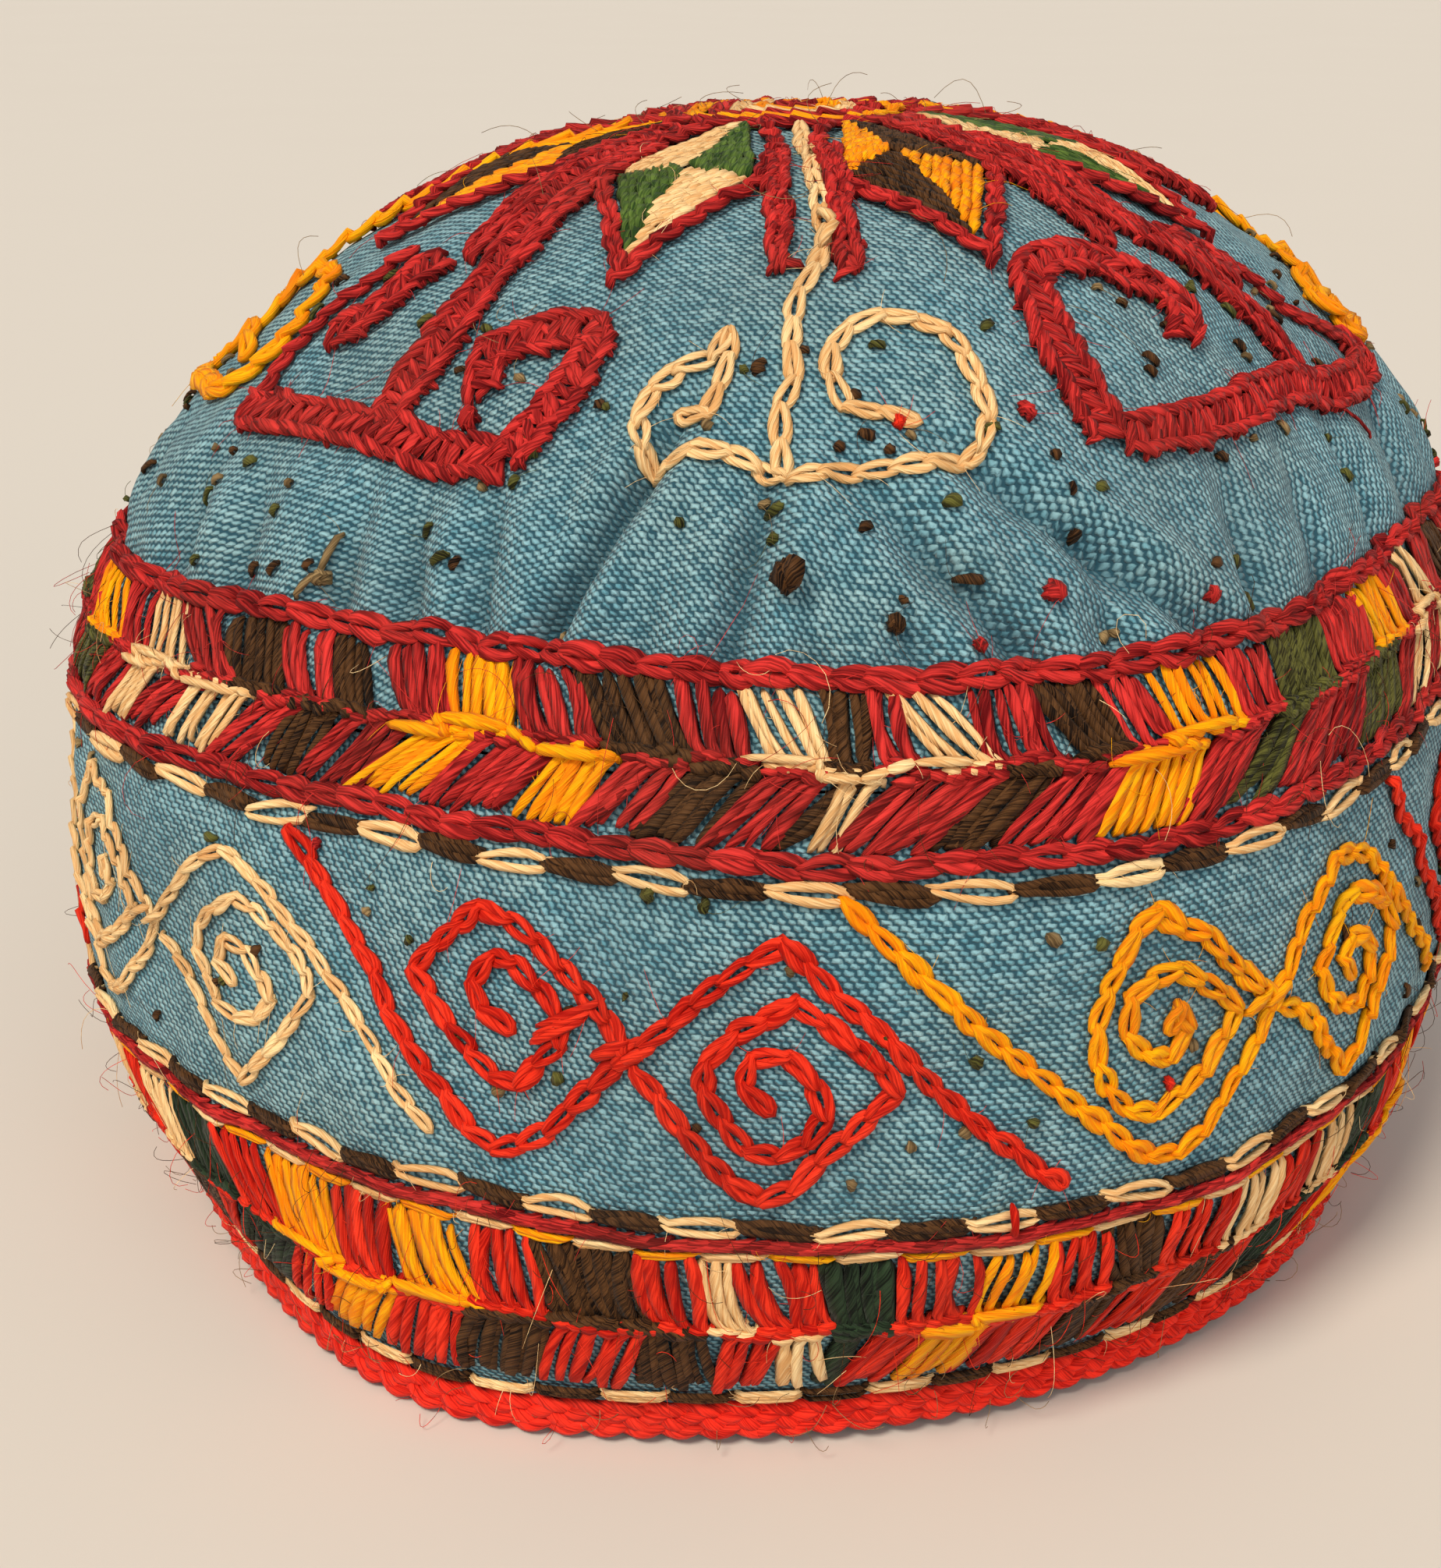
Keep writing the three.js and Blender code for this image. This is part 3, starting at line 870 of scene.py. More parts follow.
class Threads:
    """Stitches of one colour, gathered as tubes until they become one mesh.

    uv_step, uv_range and uv_aside shift each thread's fibres from those of the thread before it. girth is the
    way round a thread in widths, and tip is how far its ends stand out, in depths.
    """

    uv_step: float = 0.0137
    uv_range: float = 0.9
    uv_aside: float = 0.37
    girth: float = 2.6
    tip: float = 0.35

    def __init__(self, form: CapForm, sides: int = 5) -> None:
        """Starts with no stitch.

        Args:
            form: The cap's shape.
            sides: Sides of each thread.
        """
        self.form = form
        self.sides = sides
        self.chunks: list[dict[str, np.ndarray]] = []
        self.count = 0

    def lay(
        self,
        azimuth: np.ndarray,
        along: np.ndarray,
        lift: np.ndarray,
        width: np.ndarray,
        depth: np.ndarray,
        tone: np.ndarray,
        sides: int = 0,
    ) -> None:
        """Lays threads over the cloth.

        Args:
            azimuth: Degrees, one row for each thread and one column for each point of its path.
            along: Distance up the cloth in mm, in the same rows.
            lift: Height of the thread's middle off the cloth in mm.
            width: Width of the thread in mm.
            depth: Thickness of the thread in mm.
            tone: Lightness of each thread, about 0.
            sides: Sides of each thread, where not as usual.
        """
        azimuth, along, lift, width, depth = np.broadcast_arrays(azimuth, along, lift, width, depth)
        middle = self.form.spot(azimuth, along, lift)
        self.sweep(middle, self.form.outward(azimuth, along), width * MM, depth * MM, tone, sides=sides)

    def sweep(
        self,
        middle: np.ndarray,
        out: np.ndarray,
        width: np.ndarray,
        depth: np.ndarray,
        tone: np.ndarray,
        closed: bool = False,
        sides: int = 0,
    ) -> None:
        """Sweeps an oval along paths in space.

        Args:
            middle: Points of each path, in metres.
            out: Direction away from the cloth at each point.
            width: Width of the oval along the cloth at each point.
            depth: Its thickness at each point.
            tone: Lightness of each thread.
            closed: Whether a path ends where it starts.
            sides: Sides of each thread, where not as usual.
        """
        paths, points, _ = middle.shape
        ring = sides or self.sides
        if closed:
            ahead = unit(np.roll(middle, -1, 1) - np.roll(middle, 1, 1))
        else:
            ahead = unit(np.gradient(middle, axis=1))
        side = unit(np.cross(ahead, out))
        up = np.cross(side, ahead)
        angle = 2 * math.pi * (np.arange(ring) + 0.25) / ring
        oval = side[:, :, None] * (width / 2)[..., None, None] * np.cos(angle)[:, None]
        oval = oval + up[:, :, None] * (depth / 2)[..., None, None] * np.sin(angle)[:, None]
        rings = middle[:, :, None] + oval
        spans = points if closed else points - 1
        span, turn = np.mgrid[:spans, :ring]
        near, far, beside = span * ring, (span + 1) % points * ring, (turn + 1) % ring
        quads = np.stack([near + turn, far + turn, far + beside, near + beside], -1).reshape(-1, 4)
        run = np.linalg.norm(np.diff(middle, axis=1), axis=2)
        run = np.concatenate([np.zeros((paths, 1)), np.cumsum(run, 1)], 1)
        if closed:
            run = np.concatenate([run, run[:, -1:] + run[:, -1:] / points], 1)
        offset = ((np.arange(paths) + self.count) * self.uv_step % self.uv_range)[:, None]
        aside = offset * self.uv_aside
        forth = np.stack([span, span + 1, span + 1, span], -1).ravel()
        around = np.stack([turn, turn, turn + 1, turn + 1], -1).ravel()
        girth = float(np.mean(width)) * self.girth
        uv = np.stack([run[:, forth] + offset, around * girth / ring + aside], -1)
        vertices = rings.reshape(paths, points * ring, 3)
        ends = np.zeros((0, 3), int)
        end_uv = np.zeros((paths, 0, 2))
        if not closed:
            reach = self.tip * depth[:, [0, -1], None]
            first_tip = middle[:, 0] - ahead[:, 0] * reach[:, 0]
            last_tip = middle[:, -1] + ahead[:, -1] * reach[:, 1]
            vertices = np.concatenate([vertices, np.stack([first_tip, last_tip], 1)], 1)
            base = points * ring
            last = (points - 1) * ring
            turns = np.arange(ring)
            first = np.stack([np.full(ring, base), turns, (turns + 1) % ring], -1)
            final = np.stack([np.full(ring, base + 1), last + (turns + 1) % ring, last + turns], -1)
            ends = np.concatenate([first, final])
            rows = np.stack([turns + 0.5, turns, turns + 1], -1).ravel() * girth / ring
            end_run = np.repeat(run[:, [0, -1]], 3 * ring, 1) + offset
            end_uv = np.stack([end_run, np.tile(rows, (paths, 2)) + aside], -1)
        size = vertices.shape[1]
        shift = self.count_vertices() + np.arange(paths)[:, None, None] * size
        tone = np.broadcast_to(np.asarray(tone, float), (paths,))
        self.chunks.append({
            "vertices": vertices.reshape(-1, 3),
            "quads": (quads[None] + shift).reshape(-1, 4),
            "ends": (ends[None] + shift).reshape(-1, 3),
            "quad_uv": uv.reshape(-1, 2),
            "end_uv": end_uv.reshape(-1, 2),
            "tone": np.repeat(tone, size),
        })
        self.count += paths

    def count_vertices(self) -> int:
        """Counts the vertices gathered so far."""
        return sum(len(chunk["vertices"]) for chunk in self.chunks)

    def gather(self, key: str, width: int) -> np.ndarray:
        """Joins one kind of data of all chunks."""
        return np.concatenate([chunk[key] for chunk in self.chunks]).reshape(-1, width)

    def mesh(self, name: str) -> bpy.types.Object:
        """Makes all the gathered stitches one object.

        Args:
            name: The object's name.

        Returns:
            The object, linked to the scene.
        """
        vertices = self.gather("vertices", 3)
        quads = self.gather("quads", 4)
        ends = self.gather("ends", 3)
        uv = np.concatenate([self.gather("quad_uv", 2), self.gather("end_uv", 2)])
        loops = np.concatenate([quads.ravel(), ends.ravel()]).astype(np.int32)
        starts = np.concatenate([np.arange(len(quads)) * 4, len(quads) * 4 + np.arange(len(ends)) * 3])
        mesh = bpy.data.meshes.new(name)
        mesh.vertices.add(len(vertices))
        mesh.vertices.foreach_set("co", vertices.astype(np.float32).ravel())
        mesh.loops.add(len(loops))
        mesh.loops.foreach_set("vertex_index", loops)
        mesh.polygons.add(len(starts))
        mesh.polygons.foreach_set("loop_start", starts.astype(np.int32))
        mesh.update(calc_edges=True)
        layer = mesh.uv_layers.new(name="thread")
        layer.data.foreach_set("uv", uv.astype(np.float32).ravel())
        tone = mesh.attributes.new("tone", "FLOAT", "POINT")
        tone.data.foreach_set("value", self.gather("tone", 1).astype(np.float32).ravel())
        mesh.polygons.foreach_set("use_smooth", np.ones(len(starts), bool))
        made = bpy.data.objects.new(name, mesh)
        bpy.context.scene.collection.objects.link(made)
        return made


# One loop of chain stitch: share of half its width, share of its length, and lift in thread thicknesses.
CHAIN_LOOP = np.array([
    (0.22, -0.20, 0.1), (0.42, -0.02, 1.15), (0.78, 0.2, 0.85), (1.0, 0.48, 0.6), (1.02, 0.72, 0.5),
    (0.72, 0.95, 0.5), (0.0, 1.07, 0.45), (-0.72, 0.95, 0.5),
    (-1.02, 0.72, 0.5), (-1.0, 0.48, 0.6), (-0.78, 0.2, 0.85), (-0.42, -0.02, 1.15), (-0.22, -0.20, 0.1),
])
CHAIN_TAPER = np.array([0.6, 0.8, 0.95, 1.05, 1.05, 0.95, 0.85, 0.95, 1.05, 1.05, 0.95, 0.8, 0.6])

# One leg of a block stitch: share of the way from its outer to its inner end, steps sideways in leg pitches,
# and lift.
BLOCK_LEG = np.array([
    (0.0, 0.0, -0.1), (0.05, 0.0, 0.55), (0.25, 0.0, 0.9), (0.6, 0.0, 0.95), (0.88, 0.05, 0.9),
    (1.0, 0.35, 1.05), (1.02, 0.8, 0.8), (0.95, 1.05, 0.1),
])
BLOCK_TAPER = np.array([0.55, 0.85, 1.1, 1.1, 0.95, 0.85, 0.85, 0.6])

# A stitch lying flat: share of its length and lift.
FLAT_STITCH = np.array([(0.0, 0.0), (0.12, 0.75), (0.5, 0.9), (0.88, 0.75), (1.0, 0.0)])
FLAT_TAPER = np.array([0.5, 0.9, 1.1, 0.9, 0.5])


@dataclass(frozen=True)
class Chain:
    """Sizes of a line of chain stitch in mm."""

    link: float = 4.3
    width: float = 2.8
    thread: float = 1.15
    depth: float = 0.8
    lift: float = 0.1


@dataclass
class Embroidery:
    """Stitches of several colours that belong together, with one object for each colour.

    name starts the objects' names, node is the CAD node they stand for, or nothing, slots gives the record's
    material slots by colour but is not used, seed makes the hand's unevenness the same on each run, wobble is
    how far in mm a link's end strays, and fuzz is the number of loose fibres for each stitch. zigzag is the
    distance in mm between the stitches of a broad line, and fibre the width of a loose fibre.
    """

    form: CapForm
    wardrobe: Wardrobe
    name: str
    node: str = ""
    seed: int = 1
    slots: dict[Silk, str] = field(default_factory=dict)
    baskets: dict[Silk, Threads] = field(default_factory=dict)
    wobble: float = 0.22
    fuzz: float = 0.5
    zigzag: float = 1.4
    fibre: float = 0.075

    def __post_init__(self) -> None:
        """Starts the unevenness of the hand."""
        self.hand = np.random.default_rng(self.seed)

    def uneven(self, spread: float, *shape: int) -> np.ndarray:
        """Draws factors that vary about 1 by a spread."""
        return 1 + spread * self.hand.standard_normal(shape)

    def stray(self, spread: float, *shape: int) -> np.ndarray:
        """Draws numbers that vary about 0 by a spread."""
        return spread * self.hand.standard_normal(shape)

    def tones(self, count: int, middle: float = 0.0, spread: float = 0.28) -> np.ndarray:
        """Draws the lightness of some threads."""
        return middle + self.stray(spread, count)

    def basket(self, silk: Silk) -> Threads:
        """Gives the gathered threads of one colour."""
        if silk not in self.baskets:
            self.baskets[silk] = Threads(self.form)
        return self.baskets[silk]

    def chain(self, silk: Silk, flat: np.ndarray, sizes: Chain) -> None:
        """Sews chain stitch along a line that is marked off in links.

        Args:
            silk: The colour.
            flat: Chart places of the links' ends.
            sizes: Width and thread of the chain.
        """
        form = self.form
        starts, ends = flat[:-1], flat[1:]
        first = form.spot(*form.unchart(starts), waves=False)
        last = form.spot(*form.unchart(ends), waves=False)
        length = np.linalg.norm(last - first, axis=1)[:, None]
        ahead = unit(last - first)
        side = unit(np.cross(form.outward(*form.unchart((starts + ends) / 2)), ahead))
        count = len(starts)
        half = (sizes.width - sizes.thread) / 2 * MM * self.uneven(0.12, count, 1)
        sway = self.stray(0.1, count, 1)
        across = (CHAIN_LOOP[:, 0][None] + sway * np.sin(math.pi * CHAIN_LOOP[:, 1][None])) * half
        forth = CHAIN_LOOP[:, 1][None] * length
        move = ahead[:, None] * forth[..., None] + side[:, None] * across[..., None]
        places = form.shift(np.repeat(starts[:, None], len(CHAIN_LOOP), 1), move)
        azimuth, along = form.unchart(places)
        lift = sizes.lift + sizes.depth * CHAIN_LOOP[:, 2][None] * self.uneven(0.1, count, 1)
        width = sizes.thread * CHAIN_TAPER[None] * self.uneven(0.1, count, 1)
        width = width * self.uneven(0.08, *width.shape)
        self.basket(silk).lay(azimuth, along, lift, width, sizes.depth, self.tones(count))
        self.fray(silk, flat[:-1], sizes.lift + sizes.depth, self.fuzz)

    def line(self, silk: Silk, corners: Route, sizes: Chain) -> None:
        """Sews a row of chain stitch along a route.

        Args:
            silk: The colour.
            corners: Azimuth and distance along the cloth of the route's corners.
            sizes: Width and thread of the chain.
        """
        route_step = 0.7
        marks = self.form.even(self.form.walk(corners, route_step), sizes.link)
        self.chain(silk, marks + self.stray(self.wobble, *marks.shape), sizes)

    def stitches(
        self,
        silk: Silk,
        start: tuple[np.ndarray, np.ndarray],
        end: tuple[np.ndarray, np.ndarray],
        thread: float,
        depth: float = 0.7,
        lift: float = 0.1,
    ) -> None:
        """Sews plain stitches from place to place.

        Args:
            silk: The colour.
            start: Azimuths and distances along the cloth where they start.
            end: Where they end.
            thread: Width of the thread in mm.
            depth: Its thickness.
            lift: Height of its ends off the cloth.
        """
        begin = self.form.chart(*(np.atleast_1d(np.asarray(value, float)) for value in start))
        close = self.form.chart(*(np.atleast_1d(np.asarray(value, float)) for value in end))
        self.tacks(silk, begin, close, thread, depth, lift)

    def tacks(
        self,
        silk: Silk,
        start: np.ndarray,
        end: np.ndarray,
        thread: float,
        depth: float = 0.7,
        lift: float = 0.1,
    ) -> None:
        """Sews plain stitches between chart places.

        Args:
            silk: The colour.
            start: Chart places where they start.
            end: Where they end.
            thread: Width of the thread in mm.
            depth: Its thickness.
            lift: Height of its ends off the cloth.
        """
        places = start[:, None] + (end - start)[:, None] * FLAT_STITCH[None, :, :1]
        count = len(places)
        width = thread * FLAT_TAPER[None] * self.uneven(0.12, count, 1)
        width = width * self.uneven(0.08, *width.shape)
        height = lift + depth * FLAT_STITCH[:, 1][None]
        azimuth, along = self.form.unchart(places)
        self.basket(silk).lay(azimuth, along, height, width, depth, self.tones(count), sides=4)
        self.fray(silk, start, lift + depth, self.fuzz * 0.6)

    def broad(self, silk: Silk, corners: Route, width: float, thread: float = 1.3) -> None:
        """Sews a broad line: zigzag stitches across it and a rope of slanting stitches along each edge.

        Args:
            silk: The colour.
            corners: Azimuth and distance along the cloth of the route's corners.
            width: Width of the line in mm.
            thread: Width of the thread.
        """
        route_step = 0.5
        dense = self.form.walk(corners, route_step)
        inset = (width - thread) / 2
        count = max(3, round(len(dense) * route_step / self.zigzag))
        at = np.linspace(0, len(dense) - 1, count + 1)
        left, right = (
            between_points(at, np.arange(len(dense)), self.form.beside(dense, way * inset)) for way in (1, -1)
        )
        for raised, near, far in ((0.2, left, right), (0.5, right, left)):
            stray = self.stray(0.42, 2, count, 2)
            height = raised + 0.12 * self.hand.standard_normal()
            self.tacks(silk, near[:-1] + stray[0], far[1:] + stray[1], thread, depth=0.85, lift=height)
        slant = (left[:-2] - right[:-2]) * 0.1
        for edge in (left, right):
            stray = self.stray(0.28, 2, count - 1, 2)
            start, end = edge[:-2] + slant + stray[0], edge[2:] - slant + stray[1]
            self.tacks(silk, start, end, thread * 1.05, depth=0.95, lift=0.45)

    def fray(self, silk: Silk, flat: np.ndarray, lift: float, rate: float) -> None:
        """Lets fine fibres stand off stitches.

        Args:
            silk: The colour.
            flat: Chart places that they may start from.
            lift: Height in mm where they start.
            rate: Number of fibres for each place.
        """
        count = int(len(flat) * rate + self.hand.random())
        if count < 1:
            return
        start = flat[self.hand.integers(0, len(flat), count)]
        angle = self.hand.uniform(0, 2 * math.pi, (count, 1))
        share = np.linspace(0, 1, 5)[None]
        length = self.hand.uniform(1.2, 4.2, (count, 1))
        bend = self.stray(0.8, count, 1)
        forth, side = length * share, length * bend * share * share
        x = forth * np.cos(angle) - side * np.sin(angle)
        y = forth * np.sin(angle) + side * np.cos(angle)
        height = np.abs(self.hand.normal(0.35, 0.35, (count, 1)))
        rise = height * np.sin(share * self.hand.uniform(1.2, 3.0, (count, 1)))
        azimuth, along = self.form.unchart(start[:, None] + np.stack([x, y], -1))
        width = self.fibre * (1 - 0.5 * share)
        tone = self.tones(count, 0.6)
        self.basket(silk).lay(azimuth, along, lift * 0.8 + rise, width, self.fibre, tone, sides=3)

    def sew(self) -> None:
        """Sews the stitches, which each kind of needlework does in its own way."""
        raise NotImplementedError

    def build(self) -> list[bpy.types.Object]:
        """Sews the stitches and gives their objects."""
        self.sew()
        return self.finish()

    def finish(self) -> list[bpy.types.Object]:
        """Makes the objects, gives them their material and body, and hides the CAD node that they stand for.

        Returns:
            One object for each colour.
        """
        made = []
        for silk, threads in self.baskets.items():
            piece = threads.mesh(f"{self.name}_{silk.value}")
            piece.data.materials.append(self.wardrobe.silk(silk))
            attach(piece, BODY)
            if self.node:
                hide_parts(self.node)
            triangles = sum(len(p.vertices) - 2 for p in piece.data.polygons)
            log.info("%s: %d threads, %d triangles", piece.name, threads.count, triangles)
            made.append(piece)
        return made


@dataclass(frozen=True)
class Block:
    """A block of stitches: its colour and the azimuths it starts and ends at, halfway up its row."""

    silk: Silk | None
    start: float
    end: float


@dataclass(frozen=True)
class BlockRow:
    """A row of block stitches round the cap.

    words gives colour and width in degrees of each block from start on, as far as the front shows. The hidden
    rest repeats them. outer and inner are the ends of the legs up the cloth, lean is how far the inner end is
    shifted sideways in mm, sway is how much that changes from block to block, pitch is the distance between
    legs, and thread is their width.
    """

    start: float
    words: str
    outer: float
    inner: float
    lean: float
    pitch: float
    thread: float
    sway: float = 1.3

    def blocks(self) -> list[Block]:
        """Reads the blocks.

        Returns:
            The blocks all the way round the cap.
        """
        pairs = [word.split() for word in self.words.split(",")]
        silks = [None if name == "gap" else Silk(name) for name, _ in pairs]
        widths = [float(width) for _, width in pairs]
        seen = sum(widths)
        passes = round((360 - seen) / seen)
        scale = (360 - seen) / (passes * seen)
        made = []
        at = self.start
        for turn in range(passes + 1):
            for silk, width in zip(silks, widths):
                wide = width * (scale if turn else 1.0)
                made.append(Block(silk, at, at + wide))
                at += wide
        return made


@dataclass
class BlockBand(Embroidery):
    """A band of two rows of block stitches that meet in a raised middle line.

    The silks in fine are sewn with closer legs, and fine_pitch, fine_thread and fine_depth are their share of
    the usual sizes. cream_thread is the cream thread's share of the usual width, and depth is the legs'
    thickness in mm. join_reach is how many degrees apart blocks may be that a thread joins.
    """

    fine: tuple[Silk, ...] = (Silk.DARK, Silk.OLIVE, Silk.GREEN)
    fine_pitch: float = 0.62
    fine_thread: float = 1.05
    fine_depth: float = 0.8
    cream_thread: float = 0.8
    depth: float = 0.8
    join_reach: float = 9.0

    def sew_row(self, row: BlockRow) -> None:
        """Sews one row of blocks, leg by leg, with the loops of the legs along its inner edge.

        Args:
            row: The row.
        """
        degree = self.form.degree((row.outer + row.inner) / 2)
        for block in row.blocks():
            if block.silk is None:
                continue
            fine = block.silk in self.fine
            pitch = row.pitch * (self.fine_pitch if fine else 1.0)
            wide = block.end - block.start
            count = max(2, round(wide * degree / pitch))
            share = (np.arange(count) + 0.5) / count
            middle = block.start + share * wide
            lean = (row.lean + row.sway * self.hand.standard_normal()) / degree
            fan = (share - 0.5) * 0.16 * wide * self.hand.uniform(-0.4, 1.0)
            outer = middle - lean / 2 + fan + self.stray(0.25, count) / degree
            inner = middle + lean / 2 - fan + self.stray(0.15, count) / degree
            top = row.outer + self.stray(0.4, count)
            foot = row.inner + self.stray(0.2, count)
            down, aside, raised = BLOCK_LEG.T[:, None]
            bow = self.stray(0.4, count, 1) * np.sin(math.pi * np.clip(down, 0, 1)) / degree
            azimuth = outer[:, None] + (inner - outer)[:, None] * down
            azimuth = azimuth + aside * pitch / degree + bow
            along = top[:, None] + (foot - top)[:, None] * down
            thick = row.thread
            if fine:
                thick *= self.fine_thread
            elif block.silk is Silk.CREAM:
                thick *= self.cream_thread
            width = thick * BLOCK_TAPER[None] * self.uneven(0.14, count, 1)
            width = width * self.uneven(0.07, *width.shape)
            depth = self.depth * (self.fine_depth if fine else 1.0)
            lift = 0.12 + depth * raised + self.stray(0.12, count, 1)
            self.basket(block.silk).lay(azimuth, along, lift, width, depth, self.tones(count), sides=4)
            self.fray(block.silk, self.form.chart(middle, (top + foot) / 2), 1.0, self.fuzz)
            bead = 0.62 * row.pitch / degree
            tilt = self.stray(0.15, 2, count)
            tread = foot + math.copysign(0.25, row.inner - row.outer)
            start, end = (inner - bead, tread + tilt[0]), (inner + bead, tread + tilt[1])
            self.stitches(block.silk, start, end, thick * 0.95, depth=0.95, lift=0.5)

    def join_rows(self, upper: BlockRow, lower: BlockRow, silks: tuple[Silk, ...], thread: float) -> None:
        """Carries a thick thread along the middle line between near blocks of one colour.

        Args:
            upper: The row above the line.
            lower: The row below it.
            silks: The colours that do so.
            thread: Width of the thread.
        """
        middle = (upper.inner + lower.inner) / 2
        top, foot = upper.inner + 0.2, lower.inner - 0.2
        for above in upper.blocks():
            for below in lower.blocks():
                away = (below.start + below.end) / 2 - (above.start + above.end) / 2
                if above.silk is not below.silk or above.silk not in silks or abs(away) > self.join_reach:
                    continue
                near = above.end if away > 0 else above.start
                far = below.start if away > 0 else below.end
                knee = (near * 0.5 + far * 0.5, middle)
                runs = (
                    ((above.start, top), (above.end, top)),
                    ((near, top), knee),
                    (knee, (far, foot)),
                    ((below.start, foot), (below.end, foot)),
                )
                for start, end in runs:
                    self.stitches(above.silk, start, end, thread, depth=1.0, lift=0.95)

    def ring(self, silk: Silk, along: float, sizes: Chain) -> None:
        """Sews a closed ring of chain stitch round the cap."""
        self.line(silk, [(turn, along) for turn in range(-180, 181, 6)], sizes)

    def dotted_ring(
        self, along: float, count: int, silks: tuple[Silk, Silk], width: float, start: float
    ) -> None:
        """Sews a ring of single chain loops in two colours by turns.

        Args:
            along: Distance up the cloth.
            count: Number of stitches round the cap.
            silks: The two colours.
            width: Width of a loop in mm.
            start: Azimuth of the first.
        """
        step = 360 / count
        for i in range(count):
            silk = silks[i % 2]
            at = start + i * step
            drop = 0.35 * self.hand.standard_normal()
            filled = silk is not Silk.CREAM
            wide, thick = (1.15, 0.6) if filled else (1.28, 0.48)
            ends = [(at + 0.02 * step, along + drop), (at + 0.90 * step, along - drop * 0.5)]
            whole = self.form.walk(ends, math.inf)
            self.chain(silk, whole, Chain(width=width * wide, thread=width * thick, depth=0.8))
            if filled:
                fill = (at - 0.12 * step, along), (at + step * 0.96, along)
                self.stitches(silk, *fill, width * 0.7, depth=0.8)
            tie = (at + 0.86 * step, along - drop * 0.5), (at + 1.02 * step, along - drop)
            self.stitches(silk, *tie, width * 0.4, depth=0.6)


@dataclass
class SeamNeedlework(BlockBand):
    """The raised band over the seam of crown and side band."""

    upper: BlockRow = BlockRow(
        start=-63.5,
        words="crimson 4.5, cream 5, crimson 5.6, dark 5.3, crimson 5.3, dark 3.2, gap 2.6, crimson 4.9,"
        "orange 6.2, crimson 6.1, dark 6.9, gap 0.6, crimson 4.3, cream 5, dark 3.3, crimson 2.6, cream 3.8,"
        "crimson 5.4, dark 4.2, crimson 3.8, orange 6, crimson 4.8, olive 8, crimson 7.7, orange 6.4",
        outer=83.9, inner=77.0, lean=3.2, pitch=1.35, thread=1.3, sway=2.0,
    )
    lower: BlockRow = BlockRow(
        start=-64.7,
        words="crimson 4.4, cream 3.7, crimson 4.4, cream 6.1, crimson 4.3, dark 4.6, crimson 6, orange 5.3,"
        "crimson 7.5, orange 5, crimson 5, dark 4.4, crimson 4.8, dark 1.3, cream 2.6, crimson 6.6, dark 4,"
        "crimson 5.5, orange 6.7, crimson 5, olive 4.5, crimson 10.5, olive 7.9",
        outer=69.0, inner=75.9, lean=5.6, pitch=1.35, thread=1.3, sway=1.6,
    )

    def sew(self) -> None:
        """Sews both rows, the joins between them and the lines along their edges."""
        self.sew_row(self.upper)
        self.sew_row(self.lower)
        self.join_rows(self.upper, self.lower, (Silk.CREAM,), thread=1.05)
        self.join_rows(self.upper, self.lower, (Silk.ORANGE,), thread=1.35)
        self.ring(Silk.CRIMSON, 85.0, Chain(link=4.2, width=2.9, thread=1.42, depth=0.9, lift=0.2))
        self.ring(Silk.CRIMSON, 67.7, Chain(link=4.2, width=2.7, thread=1.34, depth=0.9, lift=0.1))
        self.dotted_ring(65.2, count=70, silks=(Silk.CREAM, Silk.DARK), width=2.0, start=-52.0)


